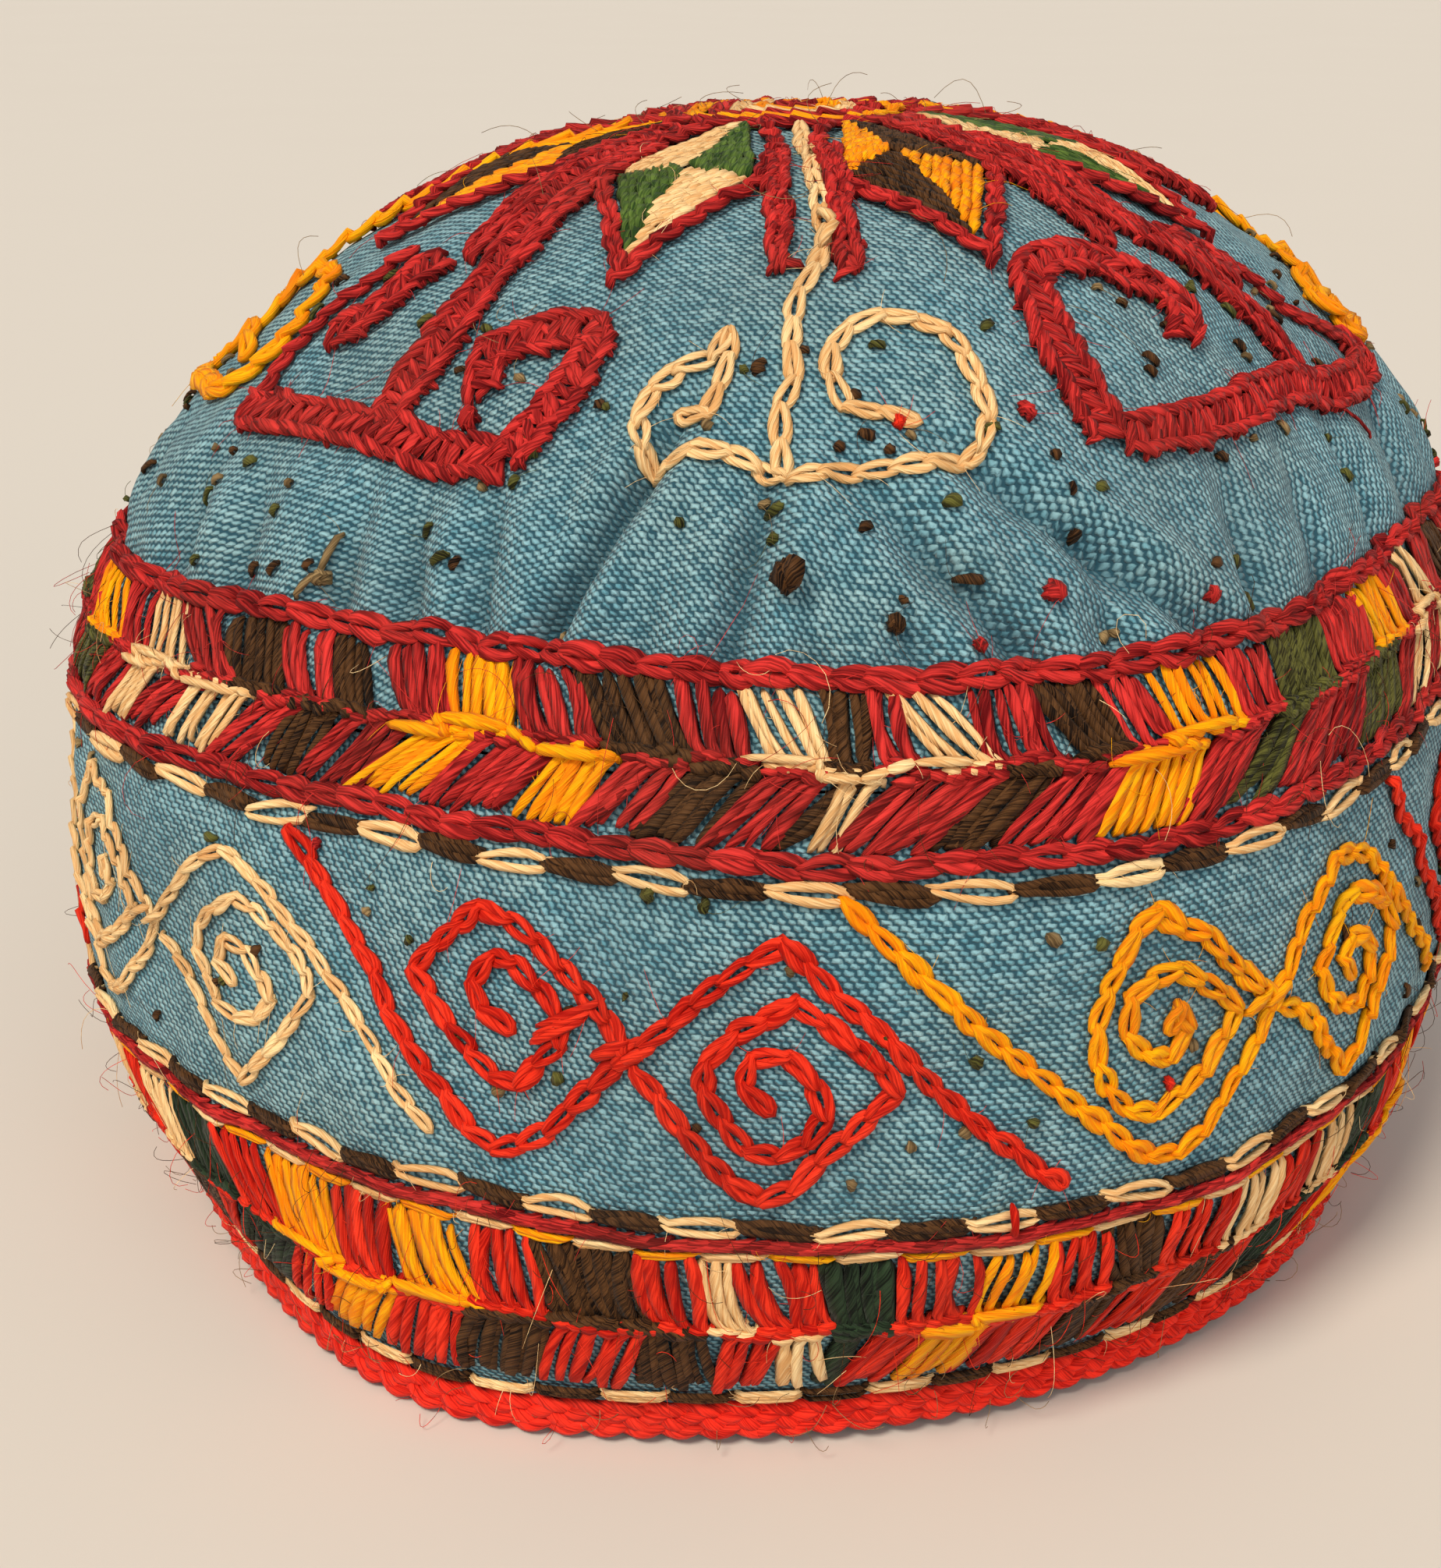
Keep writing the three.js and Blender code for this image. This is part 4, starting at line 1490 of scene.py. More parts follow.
@dataclass
class HemNeedlework(BlockBand):
    """The raised band above the rim."""

    upper: BlockRow = BlockRow(
        start=-51.5,
        words="green 7, scarlet 5.5, orange 7, scarlet 5.2, orange 6.1, scarlet 5.1, dark 7, scarlet 4.4,"
        "cream 2.9, scarlet 5.4, green 4.4, scarlet 5.8, orange 4.9, scarlet 5, dark 4.1, scarlet 6.5,"
        "cream 5.5, scarlet 4.7, cream 5.7",
        outer=26.5, inner=17.6, lean=1.4, pitch=1.6, thread=1.6, sway=1.3,
    )
    lower: BlockRow = BlockRow(
        start=-48.6,
        words="scarlet 3.5, green 6.9, scarlet 4.6, orange 5.9, scarlet 6.2, dark 6, scarlet 6.3, dark 5.6,"
        "scarlet 4.6, cream 3.3, green 1.9, scarlet 4.4, orange 4.2, scarlet 6.5, dark 4.4, scarlet 5.5,"
        "dark 4.8",
        outer=6.5, inner=16.5, lean=3.2, pitch=1.6, thread=1.6, sway=1.6,
    )
    upper_dashes: int = 82
    lower_dashes: int = 72

    def rope(self, silk: Silk, along: float, pitch: float, reach: float, thread: float) -> None:
        """Sews a ring of slanting stitches that overlap like a rope.

        Args:
            silk: The colour.
            along: Distance up the cloth.
            pitch: Distance between stitches in mm.
            reach: Length of a stitch in mm.
            thread: Width of the thread.
        """
        degree = self.form.degree(along)
        count = round(360 * degree / pitch)
        at = np.arange(count) * 360 / count
        self.stitches(silk, (at, along - 0.45), (at + reach / degree, along + 0.45), thread, 0.95, 0.15)

    def sew(self) -> None:
        """Sews both rows, the joins between them and the lines along their edges."""
        self.sew_row(self.upper)
        self.sew_row(self.lower)
        self.join_rows(self.upper, self.lower, (Silk.ORANGE,), thread=1.4)
        self.rope(Silk.CRIMSON, along=28.7, pitch=2.0, reach=4.6, thread=1.15)
        self.dotted_ring(30.9, count=74, silks=(Silk.CREAM, Silk.DARK), width=1.9, start=-35.6)
        step = 360 / self.upper_dashes
        for k, silk in enumerate((Silk.ORANGE, Silk.CREAM)):
            at = np.arange(k, self.upper_dashes, 2) * step
            rise = self.stray(0.2, len(at))
            self.stitches(silk, (at, 27.2 + rise), (at + step * 1.02, 27.2 - rise), thread=0.85)
            begin, end = (at + 0.1, 26.6 + rise), (at + step * 0.9, 26.7 - rise)
            self.stitches(silk, begin, end, thread=0.6, depth=0.5)
        step = 360 / self.lower_dashes
        for k, silk in enumerate((Silk.CREAM, Silk.DARK)):
            at = np.arange(k, self.lower_dashes, 2) * step - 1.8
            for offset in (-0.5, 0.0, 0.5):
                jitter = self.stray(0.02 * step, 2, len(at))
                foot = 4.6 + offset + self.stray(0.15, len(at))
                begin, end = (at + jitter[0], foot), (at + step * 0.98 + jitter[1], foot)
                self.stitches(silk, begin, end, thread=0.85)


@dataclass(frozen=True)
class SideFigure:
    """A zigzag with a squared spiral on each side of its crossing.

    Its routes give the turn in degrees from the crossing and the distance up the cloth in mm.
    """

    zigzag: Route
    left: Route
    right: Route


OPEN_FIGURE = SideFigure(
    zigzag=(
        (-29, 63.2), (-22.5, 54.5), (-18, 46), (-13.5, 39.5), (-10.4, 35.4), (-6.5, 38.2),
        (0, 49), (4.5, 55), (8.8, 60.8), (13, 55.5), (20, 44.5), (28, 33.6),
    ),
    left=(
        (-1, 48.4), (-3, 52), (-8, 58.8), (-12, 60.6), (-15, 56.4), (-17, 52.4), (-13, 46.4), (-9, 42),
        (-7, 45.6), (-4.6, 49.4), (-6, 52), (-10, 56.6), (-12.2, 54), (-12, 50.8), (-9, 48.2),
    ),
    right=(
        (0, 46.4), (3, 42), (5.4, 36.8), (8, 34), (11, 36), (15, 43.2), (17, 46.4), (13, 52), (10, 55),
        (6, 50.8), (4, 47.2), (5, 44), (8, 38.2), (11, 39.6), (12.4, 43.6), (11, 48), (9, 49.8), (7, 48.8),
        (7, 46), (9, 43.4),
    ),
)
CLOSE_FIGURE = SideFigure(
    zigzag=(
        (-31, 64), (-24, 54), (-18, 45.5), (-11, 36.2), (-8.8, 34.4), (-5.5, 36.6), (-2, 42.5),
        (1, 50), (4, 56), (7.5, 59.8), (12, 57), (18, 50), (28, 35.6),
    ),
    left=(
        (0, 48), (-3, 51.6), (-7.5, 58.4), (-12, 61.4), (-14, 55.2), (-15, 48.4), (-14, 43.6), (-10, 39.6),
        (-6.5, 43), (-3.2, 48), (-6, 52), (-10.5, 55.4), (-12.8, 52.8), (-12.6, 48.6), (-10, 44.8),
        (-7.8, 47), (-8.2, 50.4), (-9.8, 50.8), (-9.4, 48.4),
    ),
    right=(
        (1, 46.4), (5, 43.2), (6.5, 39.6), (10.5, 34), (13.5, 39), (16, 44), (17.6, 48), (14, 52), (9.6, 55),
        (7, 52), (5.2, 48.4), (6, 45.4), (9.5, 41.6), (12.2, 41.6), (13.6, 45.4), (11.2, 49.4), (8.4, 49.8),
        (8, 46.6), (10, 45.4),
    ),
)


@dataclass
class SideFigures(Embroidery):
    """The zigzags and squared spirals in chain stitch between the two bands."""

    # Azimuth of each figure's crossing, its colour and its shape.
    figures: tuple[tuple[float, Silk, SideFigure], ...] = (
        (-52.0, Silk.CREAM, CLOSE_FIGURE),
        (-9.0, Silk.SCARLET, OPEN_FIGURE),
        (35.0, Silk.ORANGE, CLOSE_FIGURE),
        (79.5, Silk.SCARLET, OPEN_FIGURE),
        (124.5, Silk.CREAM, CLOSE_FIGURE),
        (169.0, Silk.SCARLET, OPEN_FIGURE),
        (214.0, Silk.ORANGE, CLOSE_FIGURE),
        (260.5, Silk.SCARLET, OPEN_FIGURE),
    )
    slender: Chain = Chain(link=3.3, width=1.9, thread=0.88, depth=0.65, lift=0.05)
    full: Chain = Chain(link=3.6, width=2.4, thread=1.12, depth=0.9, lift=0.05)

    def sew(self) -> None:
        """Sews the figures all round the cap."""
        for middle, silk, figure in self.figures:
            sizes = self.slender if silk is Silk.CREAM else self.full
            for route in (figure.zigzag, figure.left, figure.right):
                self.line(silk, turned(route, middle), sizes)
            for start, end in ((-1.0, 1.2), (-3.0, -0.6)):
                cross = (middle + start, 47.4), (middle + end, 49.4)
                self.stitches(silk, *cross, thread=sizes.thread * 1.2, depth=0.8, lift=0.5)
            if figure is OPEN_FIGURE:
                aside = np.linspace(-0.9, 0.9, 3)
                start = (middle - 3.0 + aside * 0.6, 52.2 + aside)
                end = (middle - 7.2 + aside * 0.2, 48.6 + aside)
                self.stitches(silk, start, end, thread=1.05, lift=0.6)


# The slender horn's routes, as turn in degrees from its stem and distance up the cloth in mm.
SLIM_STEM = ((2, 165), (2.8, 150), (4, 140), (4.2, 134.5), (2, 130), (0, 125), (-0.6, 116), (-1, 104.8))
SLIM_LEFT = (
    (-1, 104.6), (-4, 106.2), (-8, 107.4), (-12.6, 105.2), (-14.4, 110), (-13.6, 114.6),
    (-10.6, 117), (-7.6, 118), (-6.4, 121.4), (-6.4, 115.6), (-7.4, 111.2), (-10.6, 111.6),
)
SLIM_RIGHT = (
    (0, 104.4), (5, 105.2), (10, 106), (14.2, 106.2), (16.4, 109), (17, 113), (16.2, 117.4), (14.4, 121.4),
    (11, 124), (6.4, 123.2), (3.6, 120.4), (4, 115), (5, 111.8), (8, 112.2), (10.4, 110.8),
)


@dataclass(frozen=True)
class Horn:
    """A broad double horn.

    Its routes give the turn in degrees from its stem and the distance up the cloth in mm, and breadth is the
    width of the stem in mm.
    """

    stem: Route
    base: Route
    near: Route
    far: Route
    tongue: Route
    breadth: float


LEFT_HORN = Horn(
    stem=((-4, 163), (-3, 150), (-0.6, 138), (1.8, 128), (2, 118), (0.6, 106)),
    base=((-19, 105.4), (-10, 106.4), (-1, 106), (7, 104), (15.6, 103.8)),
    near=(
        (15.8, 104), (18.6, 111), (21, 118.6), (20.2, 121), (15, 120), (10.5, 118.2), (8, 115.4),
        (10.6, 111.4),
    ),
    far=((-18, 107), (-19, 112), (-18, 118), (-15.6, 125), (-14.4, 129.4)),
    tongue=((-8, 129.4), (-9.4, 124.6), (-11, 119.4), (-14, 116.2)),
    breadth=5.0,
)
RIGHT_HORN = Horn(
    stem=((-14, 165), (-9, 151), (-6.4, 139), (-2, 131.4), (2, 124.8), (5, 117.6), (7, 113.2), (8, 107.4)),
    base=(
        (-25, 106.4), (-17, 106.2), (-9, 106.4), (4, 106.6), (11, 104), (20, 102.8), (27, 103.8),
        (26.4, 108.6),
    ),
    near=(
        (-26.4, 106.8), (-27, 114.4), (-27, 121.2), (-26, 127), (-22, 129.6),
        (-15, 128.4), (-11, 124.8), (-7.4, 120.8), (-8, 118), (-10, 116),
    ),
    far=((25, 108.4), (21, 111), (17, 116), (14, 121.6), (10, 126.4), (5, 130.6)),
    tongue=((6.4, 129.4), (8, 124.8), (10.6, 120.8)),
    breadth=4.0,
)


@dataclass
class CrownHorns(Embroidery):
    """The ram's horn figures in chain stitch round the crown."""

    def horn_slim(self, silk: Silk, turn: float, sizes: Chain) -> None:
        """Sews a slender horn figure with two curled arms round the azimuth turn."""
        for route in (SLIM_STEM, SLIM_LEFT, SLIM_RIGHT):
            self.line(silk, turned(route, turn), sizes)

    def horn_broad(self, turn: float, horn: Horn) -> None:
        """Sews a broad crimson horn figure.

        Args:
            turn: Azimuth of its stem.
            horn: Its routes.
        """
        widths = ((horn.base, 5.0), (horn.stem, horn.breadth), (horn.near, 4.6), (horn.tongue, 4.1))
        for route, width in widths:
            self.broad(Silk.CRIMSON, turned(route, turn), width)
        sizes = Chain(link=3.0, width=2.3, thread=1.2, depth=0.9, lift=0.2)
        self.line(Silk.CRIMSON, turned(horn.far, turn), sizes)

    def sew(self) -> None:
        """Sews the figures all round the cap."""
        cream = Chain(link=3.5, width=2.25, thread=1.0, depth=0.75, lift=0.05)
        orange = Chain(link=4.0, width=3.5, thread=1.7, depth=1.1, lift=0.05)
        for turn in (0, 180):
            self.horn_slim(Silk.CREAM, turn, cream)
            self.horn_slim(Silk.ORANGE, turn + 98, orange)
            self.horn_broad(turn - 42, LEFT_HORN)
            self.horn_broad(turn + 53, RIGHT_HORN)
        start, end = ([3.2, 5.0], [133.0, 136.6]), ([5.4, 3.4], [136.4, 138.4])
        self.stitches(Silk.CREAM, start, end, thread=1.3, depth=1.0, lift=1.0)


@dataclass
class Medallion(Embroidery):
    """The medallion on top: pointed leaves with counterchanged quarters, and pairs of bars between them.

    tip, heart and inner are the distances up the cloth of a leaf's outer end, its middle and its inner end.
    first_leaf is the azimuth of the first leaf, first_ring the distance of the first ring from the apex, and
    ring_step how much nearer each further ring lies.
    """

    leaves: int = 8
    tip: float = 128.2
    heart: float = 149.0
    inner: float = 166.0
    first_leaf: float = 23.0
    rings: tuple[Silk, ...] = (
        Silk.CRIMSON, Silk.ORANGE, Silk.CRIMSON, Silk.CREAM, Silk.ORANGE, Silk.CRIMSON,
    )
    first_ring: float = 14.5
    ring_step: float = 2.5

    def leaf(self, middle: float, first: Silk, second: Silk, rise: float) -> None:
        """Sews one leaf.

        Args:
            middle: Its azimuth.
            first: Colour of its lower left and upper right quarters.
            second: Colour of the other two.
            rise: How much further up its tip and its heart lie.
        """
        chart = self.form.chart
        heart = chart(middle, self.heart + 2 * rise)
        tip = self.tip + rise
        foot = tip + 2.4
        quarters = ((foot, -1, first), (foot, 1, second), (self.inner, -1, second), (self.inner, 1, first))
        for along, way, silk in quarters:
            end = chart(middle + way * 0.4, along)
            flank = chart(middle + way * 14.2, 147.0)
            for share in np.arange(0.06, 0.97, 0.115):
                near, far = end + (heart - end) * share, flank + (heart - flank) * share
                length = np.linalg.norm(far - near)
                marks = np.arange(self.hand.uniform(-0.9, 0.0), max(length - 1.6, 0.1), 1.9)[:, None] / length
                stray = self.stray(0.16, 2, len(marks), 2)
                begin = near + (far - near) * marks + stray[0]
                finish = near + (far - near) * (marks + 2.9 / length) + stray[1]
                self.tacks(silk, begin, finish, thread=1.35, lift=0.3)
        edge = Chain(link=3.2, width=2.3, thread=1.25, depth=0.95, lift=0.45)
        for way in (-1, 1):
            outline = [
                (middle, tip - 1.2 * (way > 0)),
                (middle + way * 15.6, 145.4),
                (middle + way * 17.6, 157.0),
                (middle + way * 8, self.inner),
            ]
            self.line(Silk.CRIMSON, outline, edge)

    def bars(self, middle: float) -> None:
        """Sews the pair of bars that flanks the stem at an azimuth."""
        for near, far, foot in ((-1.6, -4.4, 129.6), (6.4, 7.4, 129.4)):
            corners = [(middle + near, foot), (middle + near * 0.6 + far * 0.4, 140), (middle + far, 155)]
            self.broad(Silk.CRIMSON, corners, width=2.6, thread=1.15)

    def sew(self) -> None:
        """Sews the leaves and bars, and the rings in the middle."""
        step = 360 // self.leaves
        for k in range(self.leaves):
            colours = (Silk.DARK, Silk.ORANGE) if k % 2 == 0 else (Silk.LEAF, Silk.CREAM)
            self.leaf(self.first_leaf + step * k, *colours, 2.4 if k % 2 == 0 else 0.0)
            self.bars(step * k)
        for k, silk in enumerate(self.rings):
            along = self.form.apex - (self.first_ring - self.ring_step * k)
            ring = [(turn, along) for turn in range(0, 361, 15)]
            self.line(silk, ring, Chain(link=3.2, width=2.6, thread=1.2, depth=0.8, lift=0.2))


@dataclass
class Strays(Embroidery):
    """Knots, flecks and odd stitches on the cloth, and long loose fibres along the bands and the rim."""

    # The knots that stand out: silk, azimuth, distance up the cloth, and size in mm.
    knots: tuple[tuple[Silk, float, float, float], ...] = (
        (Silk.DARK, -0.3, 94.2, 3.1),
        (Silk.CRIMSON, 18.0, 92.2, 2.1),
        (Silk.CRIMSON, 31.0, 89.4, 1.5),
        (Silk.CRIMSON, 12.6, 87.8, 1.5),
        (Silk.DARK, 7.2, 90.2, 1.8),
        (Silk.TAN, -42.0, 89.2, 1.6),
        (Silk.CRIMSON, 20.0, 110.8, 1.6),
        (Silk.SCARLET, 9.0, 110.8, 1.3),
        (Silk.OLIVE, -24.0, 105.0, 1.5),
        (Silk.OLIVE, -9.0, 63.6, 1.6),
        (Silk.OLIVE, -5.0, 63.4, 1.3),
        (Silk.CRIMSON, -32.0, 108.4, 2.6),
        (Silk.SCARLET, 26.0, 42.6, 1.2),
        (Silk.CRIMSON, -36.0, 62.5, 1.2),
    )
    flecks: int = 372
    # Long fibres: silk, lowest and highest distance up the cloth where they start, and share of hairs.
    hair_bands: tuple[tuple[Silk, float, float, float], ...] = (
        (Silk.CRIMSON, 66.0, 87.0, 0.5),
        (Silk.DARK, 66.0, 87.0, 0.4),
        (Silk.CREAM, 64.0, 86.0, 0.14),
        (Silk.SCARLET, 1.0, 29.0, 0.7),
        (Silk.DARK, 3.0, 32.0, 0.8),
        (Silk.CREAM, 3.0, 32.0, 0.3),
        (Silk.TAN, -1.0, 8.0, 0.5),
        (Silk.TAN, 120.0, 175.0, 0.14),
    )
    hairs: int = 260
    hair: float = 0.085

    def knot(self, silk: Silk, azimuth: float, along: float, size: float) -> None:
        """Ties a small knot of crossing stitches.

        Args:
            silk: The colour.
            azimuth: Degrees from the front.
            along: Distance up the cloth.
            size: About how wide the knot is, in mm.
        """
        count = 6
        middle = self.form.chart(azimuth, along)
        angle = self.hand.uniform(0, math.pi, count)[:, None]
        reach = np.concatenate([np.cos(angle), np.sin(angle)], 1) * size * 0.36
        shift = self.stray(0.1 * size, count, 2)
        for k in range(count):
            start = (middle - reach[k] + shift[k])[None]
            self.tacks(silk, start, start + 2 * reach[k], size * 0.66, size * 0.5, 0.05 * size * k)

    def sew(self) -> None:
        """Ties the knots, strews the flecks and lays the fibres."""
        for silk, azimuth, along, size in self.knots:
            self.knot(silk, azimuth, along, size)
        self.stitches(Silk.CRIMSON, (66, 101.5), (69, 96.5), thread=0.5, depth=0.4)
        self.stitches(Silk.SCARLET, (15.4, 32.8), (15.7, 29.6), thread=1.5, depth=0.9, lift=1.0)
        start, end = ([-41.6, -42.4], [94.4, 89.6]), ([-42.2, -43.4], [89.4, 86.6])
        self.stitches(Silk.TAN, start, end, thread=1.0)
        for silk in (Silk.DARK, Silk.TAN, Silk.OLIVE):
            count = self.flecks // 3
            azimuth = self.hand.uniform(-180, 180, count)
            crown = self.hand.random(count) < 0.7
            along = np.where(crown, self.hand.uniform(87, 126, count), self.hand.uniform(33, 63, count))
            start = self.form.chart(azimuth, along)
            end = start + self.stray(0.6, count, 2) + [1.1, 0]
            self.tacks(silk, start, end, thread=1.3, depth=0.55, lift=0.02)
        for silk, low, high, share in self.hair_bands:
            self.long_hairs(silk, low, high, round(self.hairs * share))

    def long_hairs(self, silk: Silk, low: float, high: float, count: int) -> None:
        """Lays long curved fibres that stand off the cap.

        Args:
            silk: The colour.
            low: Lowest distance up the cloth where they start.
            high: Highest.
            count: How many.
        """
        share = np.linspace(0, 1, 8)[None]
        azimuth = self.hand.uniform(-180, 180, count)
        start = self.form.chart(azimuth, self.hand.uniform(low, high, count))[:, None]
        angle = self.hand.uniform(0, 2 * math.pi, (count, 1)) + self.hand.normal(0, 2.2, (count, 1)) * share
        length = self.hand.uniform(3, 13, (count, 1)) / share.shape[1]
        move = np.cumsum(np.stack([np.cos(angle), np.sin(angle)], -1) * length[..., None], 1)
        rise = self.hand.uniform(0, 4.0, (count, 1))
        height = 1.2 + rise * np.sin(share * self.hand.uniform(0.8, 3.0, (count, 1)))
        azimuth, along = self.form.unchart(start + move)
        along = np.maximum(along, -1.5)
        width = self.hair * (1 - 0.5 * share)
        tone = self.tones(count, 0.5, 0.4)
        self.basket(silk).lay(azimuth, along, height, width, self.hair, tone, sides=3)


@dataclass
class Cloth:
    """A stretch of the blue cotton, with its thickness.

    It reaches from bottom to top in mm up the cap and has around by rings grid cells. node is the CAD node
    that it stands for. A dome closes at its top, and crowding is how strongly its rings crowd together below.
    The weave is laid out flat: a dome's from its apex, shifted by dome_offset metres, and the side's round a
    cylinder of side_radius mm. Shade is painted into the folds, and a fold deepest mm deep gets the darkest.
    """

    form: CapForm
    wardrobe: Wardrobe
    name: str
    node: str
    bottom: float
    top: float
    around: int
    rings: int
    dome: bool
    crowding: float = 0.45
    dome_offset: float = 0.25
    side_radius: float = 77.7 * 1.1
    deepest: float = 3.2

    def wrap(self, mesh: bpy.types.Mesh) -> None:
        """Wraps a flat square grid round the cap, and keeps its depth in folds as an attribute for painted
        fold shade.

        Args:
            mesh: The grid, whose sides are one metre long.
        """
        flat = np.empty(len(mesh.vertices) * 3, np.float32)
        mesh.vertices.foreach_get("co", flat)
        flat = flat.reshape(-1, 3)
        azimuth = flat[:, 0] * 360.0
        share = flat[:, 1] + 0.5
        if self.dome:
            share = (1 - self.crowding) * share + self.crowding * share**4
        along = self.bottom + (self.top - self.bottom) * share
        if self.dome:
            along = np.where(share > 1 - 1e-6, self.form.apex, along)
            uv = self.form.chart(azimuth, along) * MM + self.dome_offset
        else:
            uv = np.stack([np.radians(azimuth) * self.side_radius, along], -1) * MM
        layer = mesh.uv_layers.active or mesh.uv_layers.new(name="cloth")
        layer.name = "cloth"
        corners = np.empty(len(mesh.loops), np.int32)
        mesh.loops.foreach_get("vertex_index", corners)
        layer.data.foreach_set("uv", uv[corners].astype(np.float32).ravel())
        # fold is the share of painted shade that the cloth gets in the gathers' folds
        fold = mesh.attributes.new("fold", "FLOAT", "POINT")
        depth = np.clip(-self.form.gathers(azimuth, along) / self.deepest, 0.0, 1.0)
        fold.data.foreach_set("value", depth.astype(np.float32))
        places = self.form.spot(azimuth, along)
        mesh.vertices.foreach_set("co", places.astype(np.float32).ravel())
        mesh.update()

    def build(self) -> bpy.types.Object:
        """Makes the cloth.

        Returns:
            Its object.
        """
        bpy.ops.object.select_all(action="DESELECT")
        bpy.ops.mesh.primitive_grid_add(x_subdivisions=self.around, y_subdivisions=self.rings, size=1)
        piece = bpy.context.active_object
        piece.name = self.name
        self.wrap(piece.data)
        bpy.ops.object.mode_set(mode="EDIT")
        bpy.ops.mesh.select_all(action="SELECT")
        bpy.ops.mesh.remove_doubles(threshold=0.00001)
        bpy.ops.mesh.normals_make_consistent(inside=False)
        bpy.ops.object.mode_set(mode="OBJECT")
        wall = piece.modifiers.new("wall", "SOLIDIFY")
        wall.thickness = self.form.wall * MM
        wall.offset = -1
        wall.use_even_offset = False
        bpy.ops.object.modifier_apply(modifier=wall.name)
        bpy.ops.object.shade_smooth()
        piece.data.materials.append(self.wardrobe.cotton())
        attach(piece, BODY)
        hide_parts(self.node)
        log.info("%s: %d faces", self.name, len(piece.data.polygons))
        return piece


@dataclass
class RimBraid:
    """The scarlet braid round the rim: flat strands plaited over each other.

    Each strand swings up and down by sway and in and out by weave, in periods turns round the rim with points
    places in each, and width and thickness are its own, in mm.
    """

    form: CapForm
    wardrobe: Wardrobe
    strands: int = 5
    periods: int = 25
    points: int = 28
    sway: float = 1.75
    weave: float = 0.42
    width: float = 1.75
    thickness: float = 1.25

    def build(self) -> bpy.types.Object:
        """Plaits the braid.

        Returns:
            Its object.
        """
        count = self.periods * self.points
        turn = np.arange(count) / count
        threads = Threads(self.form, 6)
        for k in range(self.strands):
            phase = 2 * math.pi * (turn * self.periods + k / self.strands)
            up = self.sway * (0.3 * np.sin(phase) + 0.7 * np.arcsin(np.sin(phase)) * 2 / math.pi)
            out = self.weave * np.sin((self.strands - 1) * phase)
            radius = self.form.outline[0][0] + 0.9 + out
            middle = self.form.place(turn * 360, radius, np.zeros(count))
            middle[:, 2] += 0.4 + up
            angle = np.radians(turn * 360 - 90)
            facing = np.stack([np.cos(angle), np.sin(angle), np.zeros(count)], -1)
            width = np.full(count, self.width)
            depth = np.full(count, self.thickness)
            sizes = width[None] * MM, depth[None] * MM
            threads.sweep(middle[None] * MM, facing[None], *sizes, 0.1 * k, closed=True)
        piece = threads.mesh("rim_plait")
        finish = SilkFinish("FF3420", "A80C08", 0.62, sheen=0.05, fibres=0.8, twist=0.6)
        piece.data.materials.append(finish.material("plait_floss", self.wardrobe.groups))
        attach(piece, BODY)
        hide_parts("rim_braid")
        log.info("%s: %d faces", piece.name, len(piece.data.polygons))
        return piece


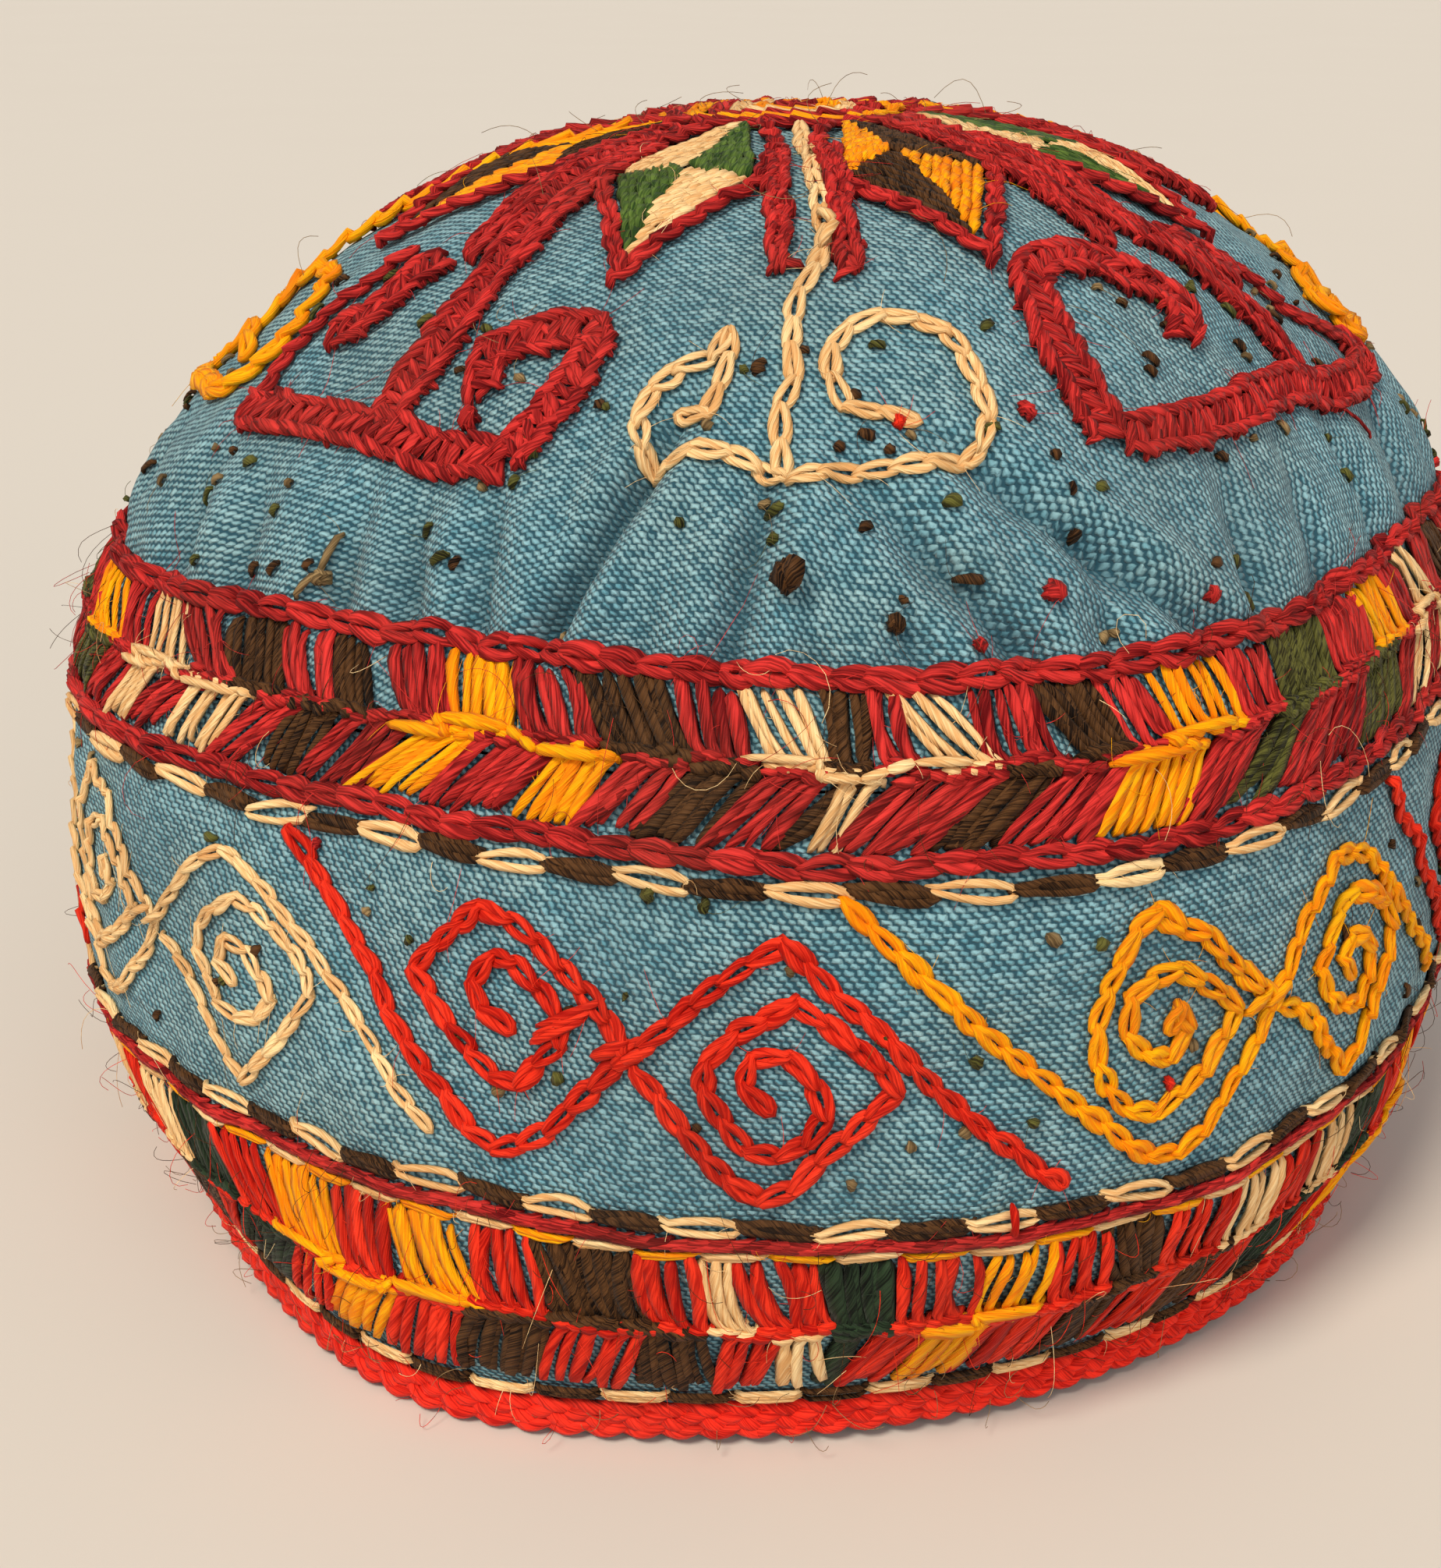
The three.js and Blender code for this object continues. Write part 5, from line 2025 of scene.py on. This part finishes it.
@dataclass
class Studio:
    """The floor, the lights and the camera at the photograph's angle.

    pitch is how far the camera looks down and yaw how far it turns to +X, in radians, and lens is in mm.
    """

    camera_place: tuple[float, float, float] = (0.00009, -0.27769, 0.1562)
    pitch: float = 0.384
    yaw: float = -0.027
    lens: float = 51.55

    def floor(self) -> None:
        """Lays a plain pale floor under the cap."""
        bpy.ops.object.select_all(action="DESELECT")
        bpy.ops.mesh.primitive_plane_add(size=40.0, location=(0, 0, 0))
        ground = bpy.context.active_object
        ground.name = "floor"
        ground.data.materials.append(PlainFinish("D6D1CA", "D3CEC7", 6.0).material("pale_floor"))

    def sun(
        self, name: str, toward: tuple[float, float, float], softness: float, power: float, colour: str
    ) -> None:
        """Sets a far soft light.

        Args:
            name: Its name.
            toward: The direction that it comes from.
            softness: Angle that it fills, in degrees.
            power: Its strength.
            colour: Its colour.
        """
        data = bpy.data.lights.new(name, "SUN")
        data.angle = math.radians(softness)
        data.energy = power
        data.color = linear(colour)[:3]
        lamp = bpy.data.objects.new(name, data)
        bpy.context.scene.collection.objects.link(lamp)
        lamp.location = toward
        lamp.rotation_mode = "QUATERNION"
        lamp.rotation_quaternion = (-Vector(toward)).to_track_quat("-Z", "Y")

    def camera(self) -> None:
        """Sets the camera up where the photograph was taken."""
        data = bpy.data.cameras.new("camera")
        data.sensor_width = 36
        data.lens = self.lens
        data.clip_start = 0.01
        eye = bpy.data.objects.new("camera", data)
        bpy.context.scene.collection.objects.link(eye)
        level = math.cos(self.pitch)
        ahead = Vector((math.sin(self.yaw) * level, math.cos(self.yaw) * level, -math.sin(self.pitch)))
        eye.location = self.camera_place
        eye.rotation_mode = "QUATERNION"
        eye.rotation_quaternion = ahead.to_track_quat("-Z", "Y")
        bpy.context.scene.camera = eye

    def build(self) -> None:
        """Sets up floor, lights, camera and the even light of the room."""
        self.camera()
        self.floor()
        self.sun("key", (-0.38, -0.6, 0.95), 18.0, 2.7, "FFF2E0")
        self.sun("fill", (0.5, -1.0, 0.4), 50.0, 1.0, "FAF6F2")
        world = bpy.data.worlds.new("room")
        bpy.context.scene.world = world
        world.use_nodes = True
        sky = world.node_tree.nodes["Background"]
        sky.inputs["Color"].default_value = linear("F2F1EE")
        sky.inputs["Strength"].default_value = 0.44
        bpy.context.scene.view_settings.view_transform = "Standard"


def main() -> None:
    """Builds the cap piece by piece."""
    logging.basicConfig(level=logging.INFO, format="%(name)s: %(message)s")
    Studio().build()
    form = CapForm()
    wardrobe = Wardrobe()
    Cloth(form, wardrobe, "side_cloth", "side_band", 2.6, form.seam - 0.15, 300, 38, False).build()
    Cloth(form, wardrobe, "crown_cloth", "crown", form.seam + 0.15, form.apex, 500, 56, True).build()
    RimBraid(form, wardrobe).build()
    crimson = {Silk.CRIMSON: "crimson_silk"}
    scarlet = {Silk.SCARLET: "scarlet_silk"}
    SeamNeedlework(form, wardrobe, "seam", "seam_needlework", 11, crimson).build()
    HemNeedlework(form, wardrobe, "hem", "hem_needlework", 23, scarlet).build()
    Medallion(form, wardrobe, "medallion", "crown_medallion", 37, {Silk.CRIMSON: "medallion_silk"}).build()
    SideFigures(form, wardrobe, "side_figure", "", 41, scarlet).build()
    CrownHorns(form, wardrobe, "crown_figure", "", 53, crimson).build()
    Strays(form, wardrobe, "stray", "", 67).build()


if __name__ == "__main__":
    main()
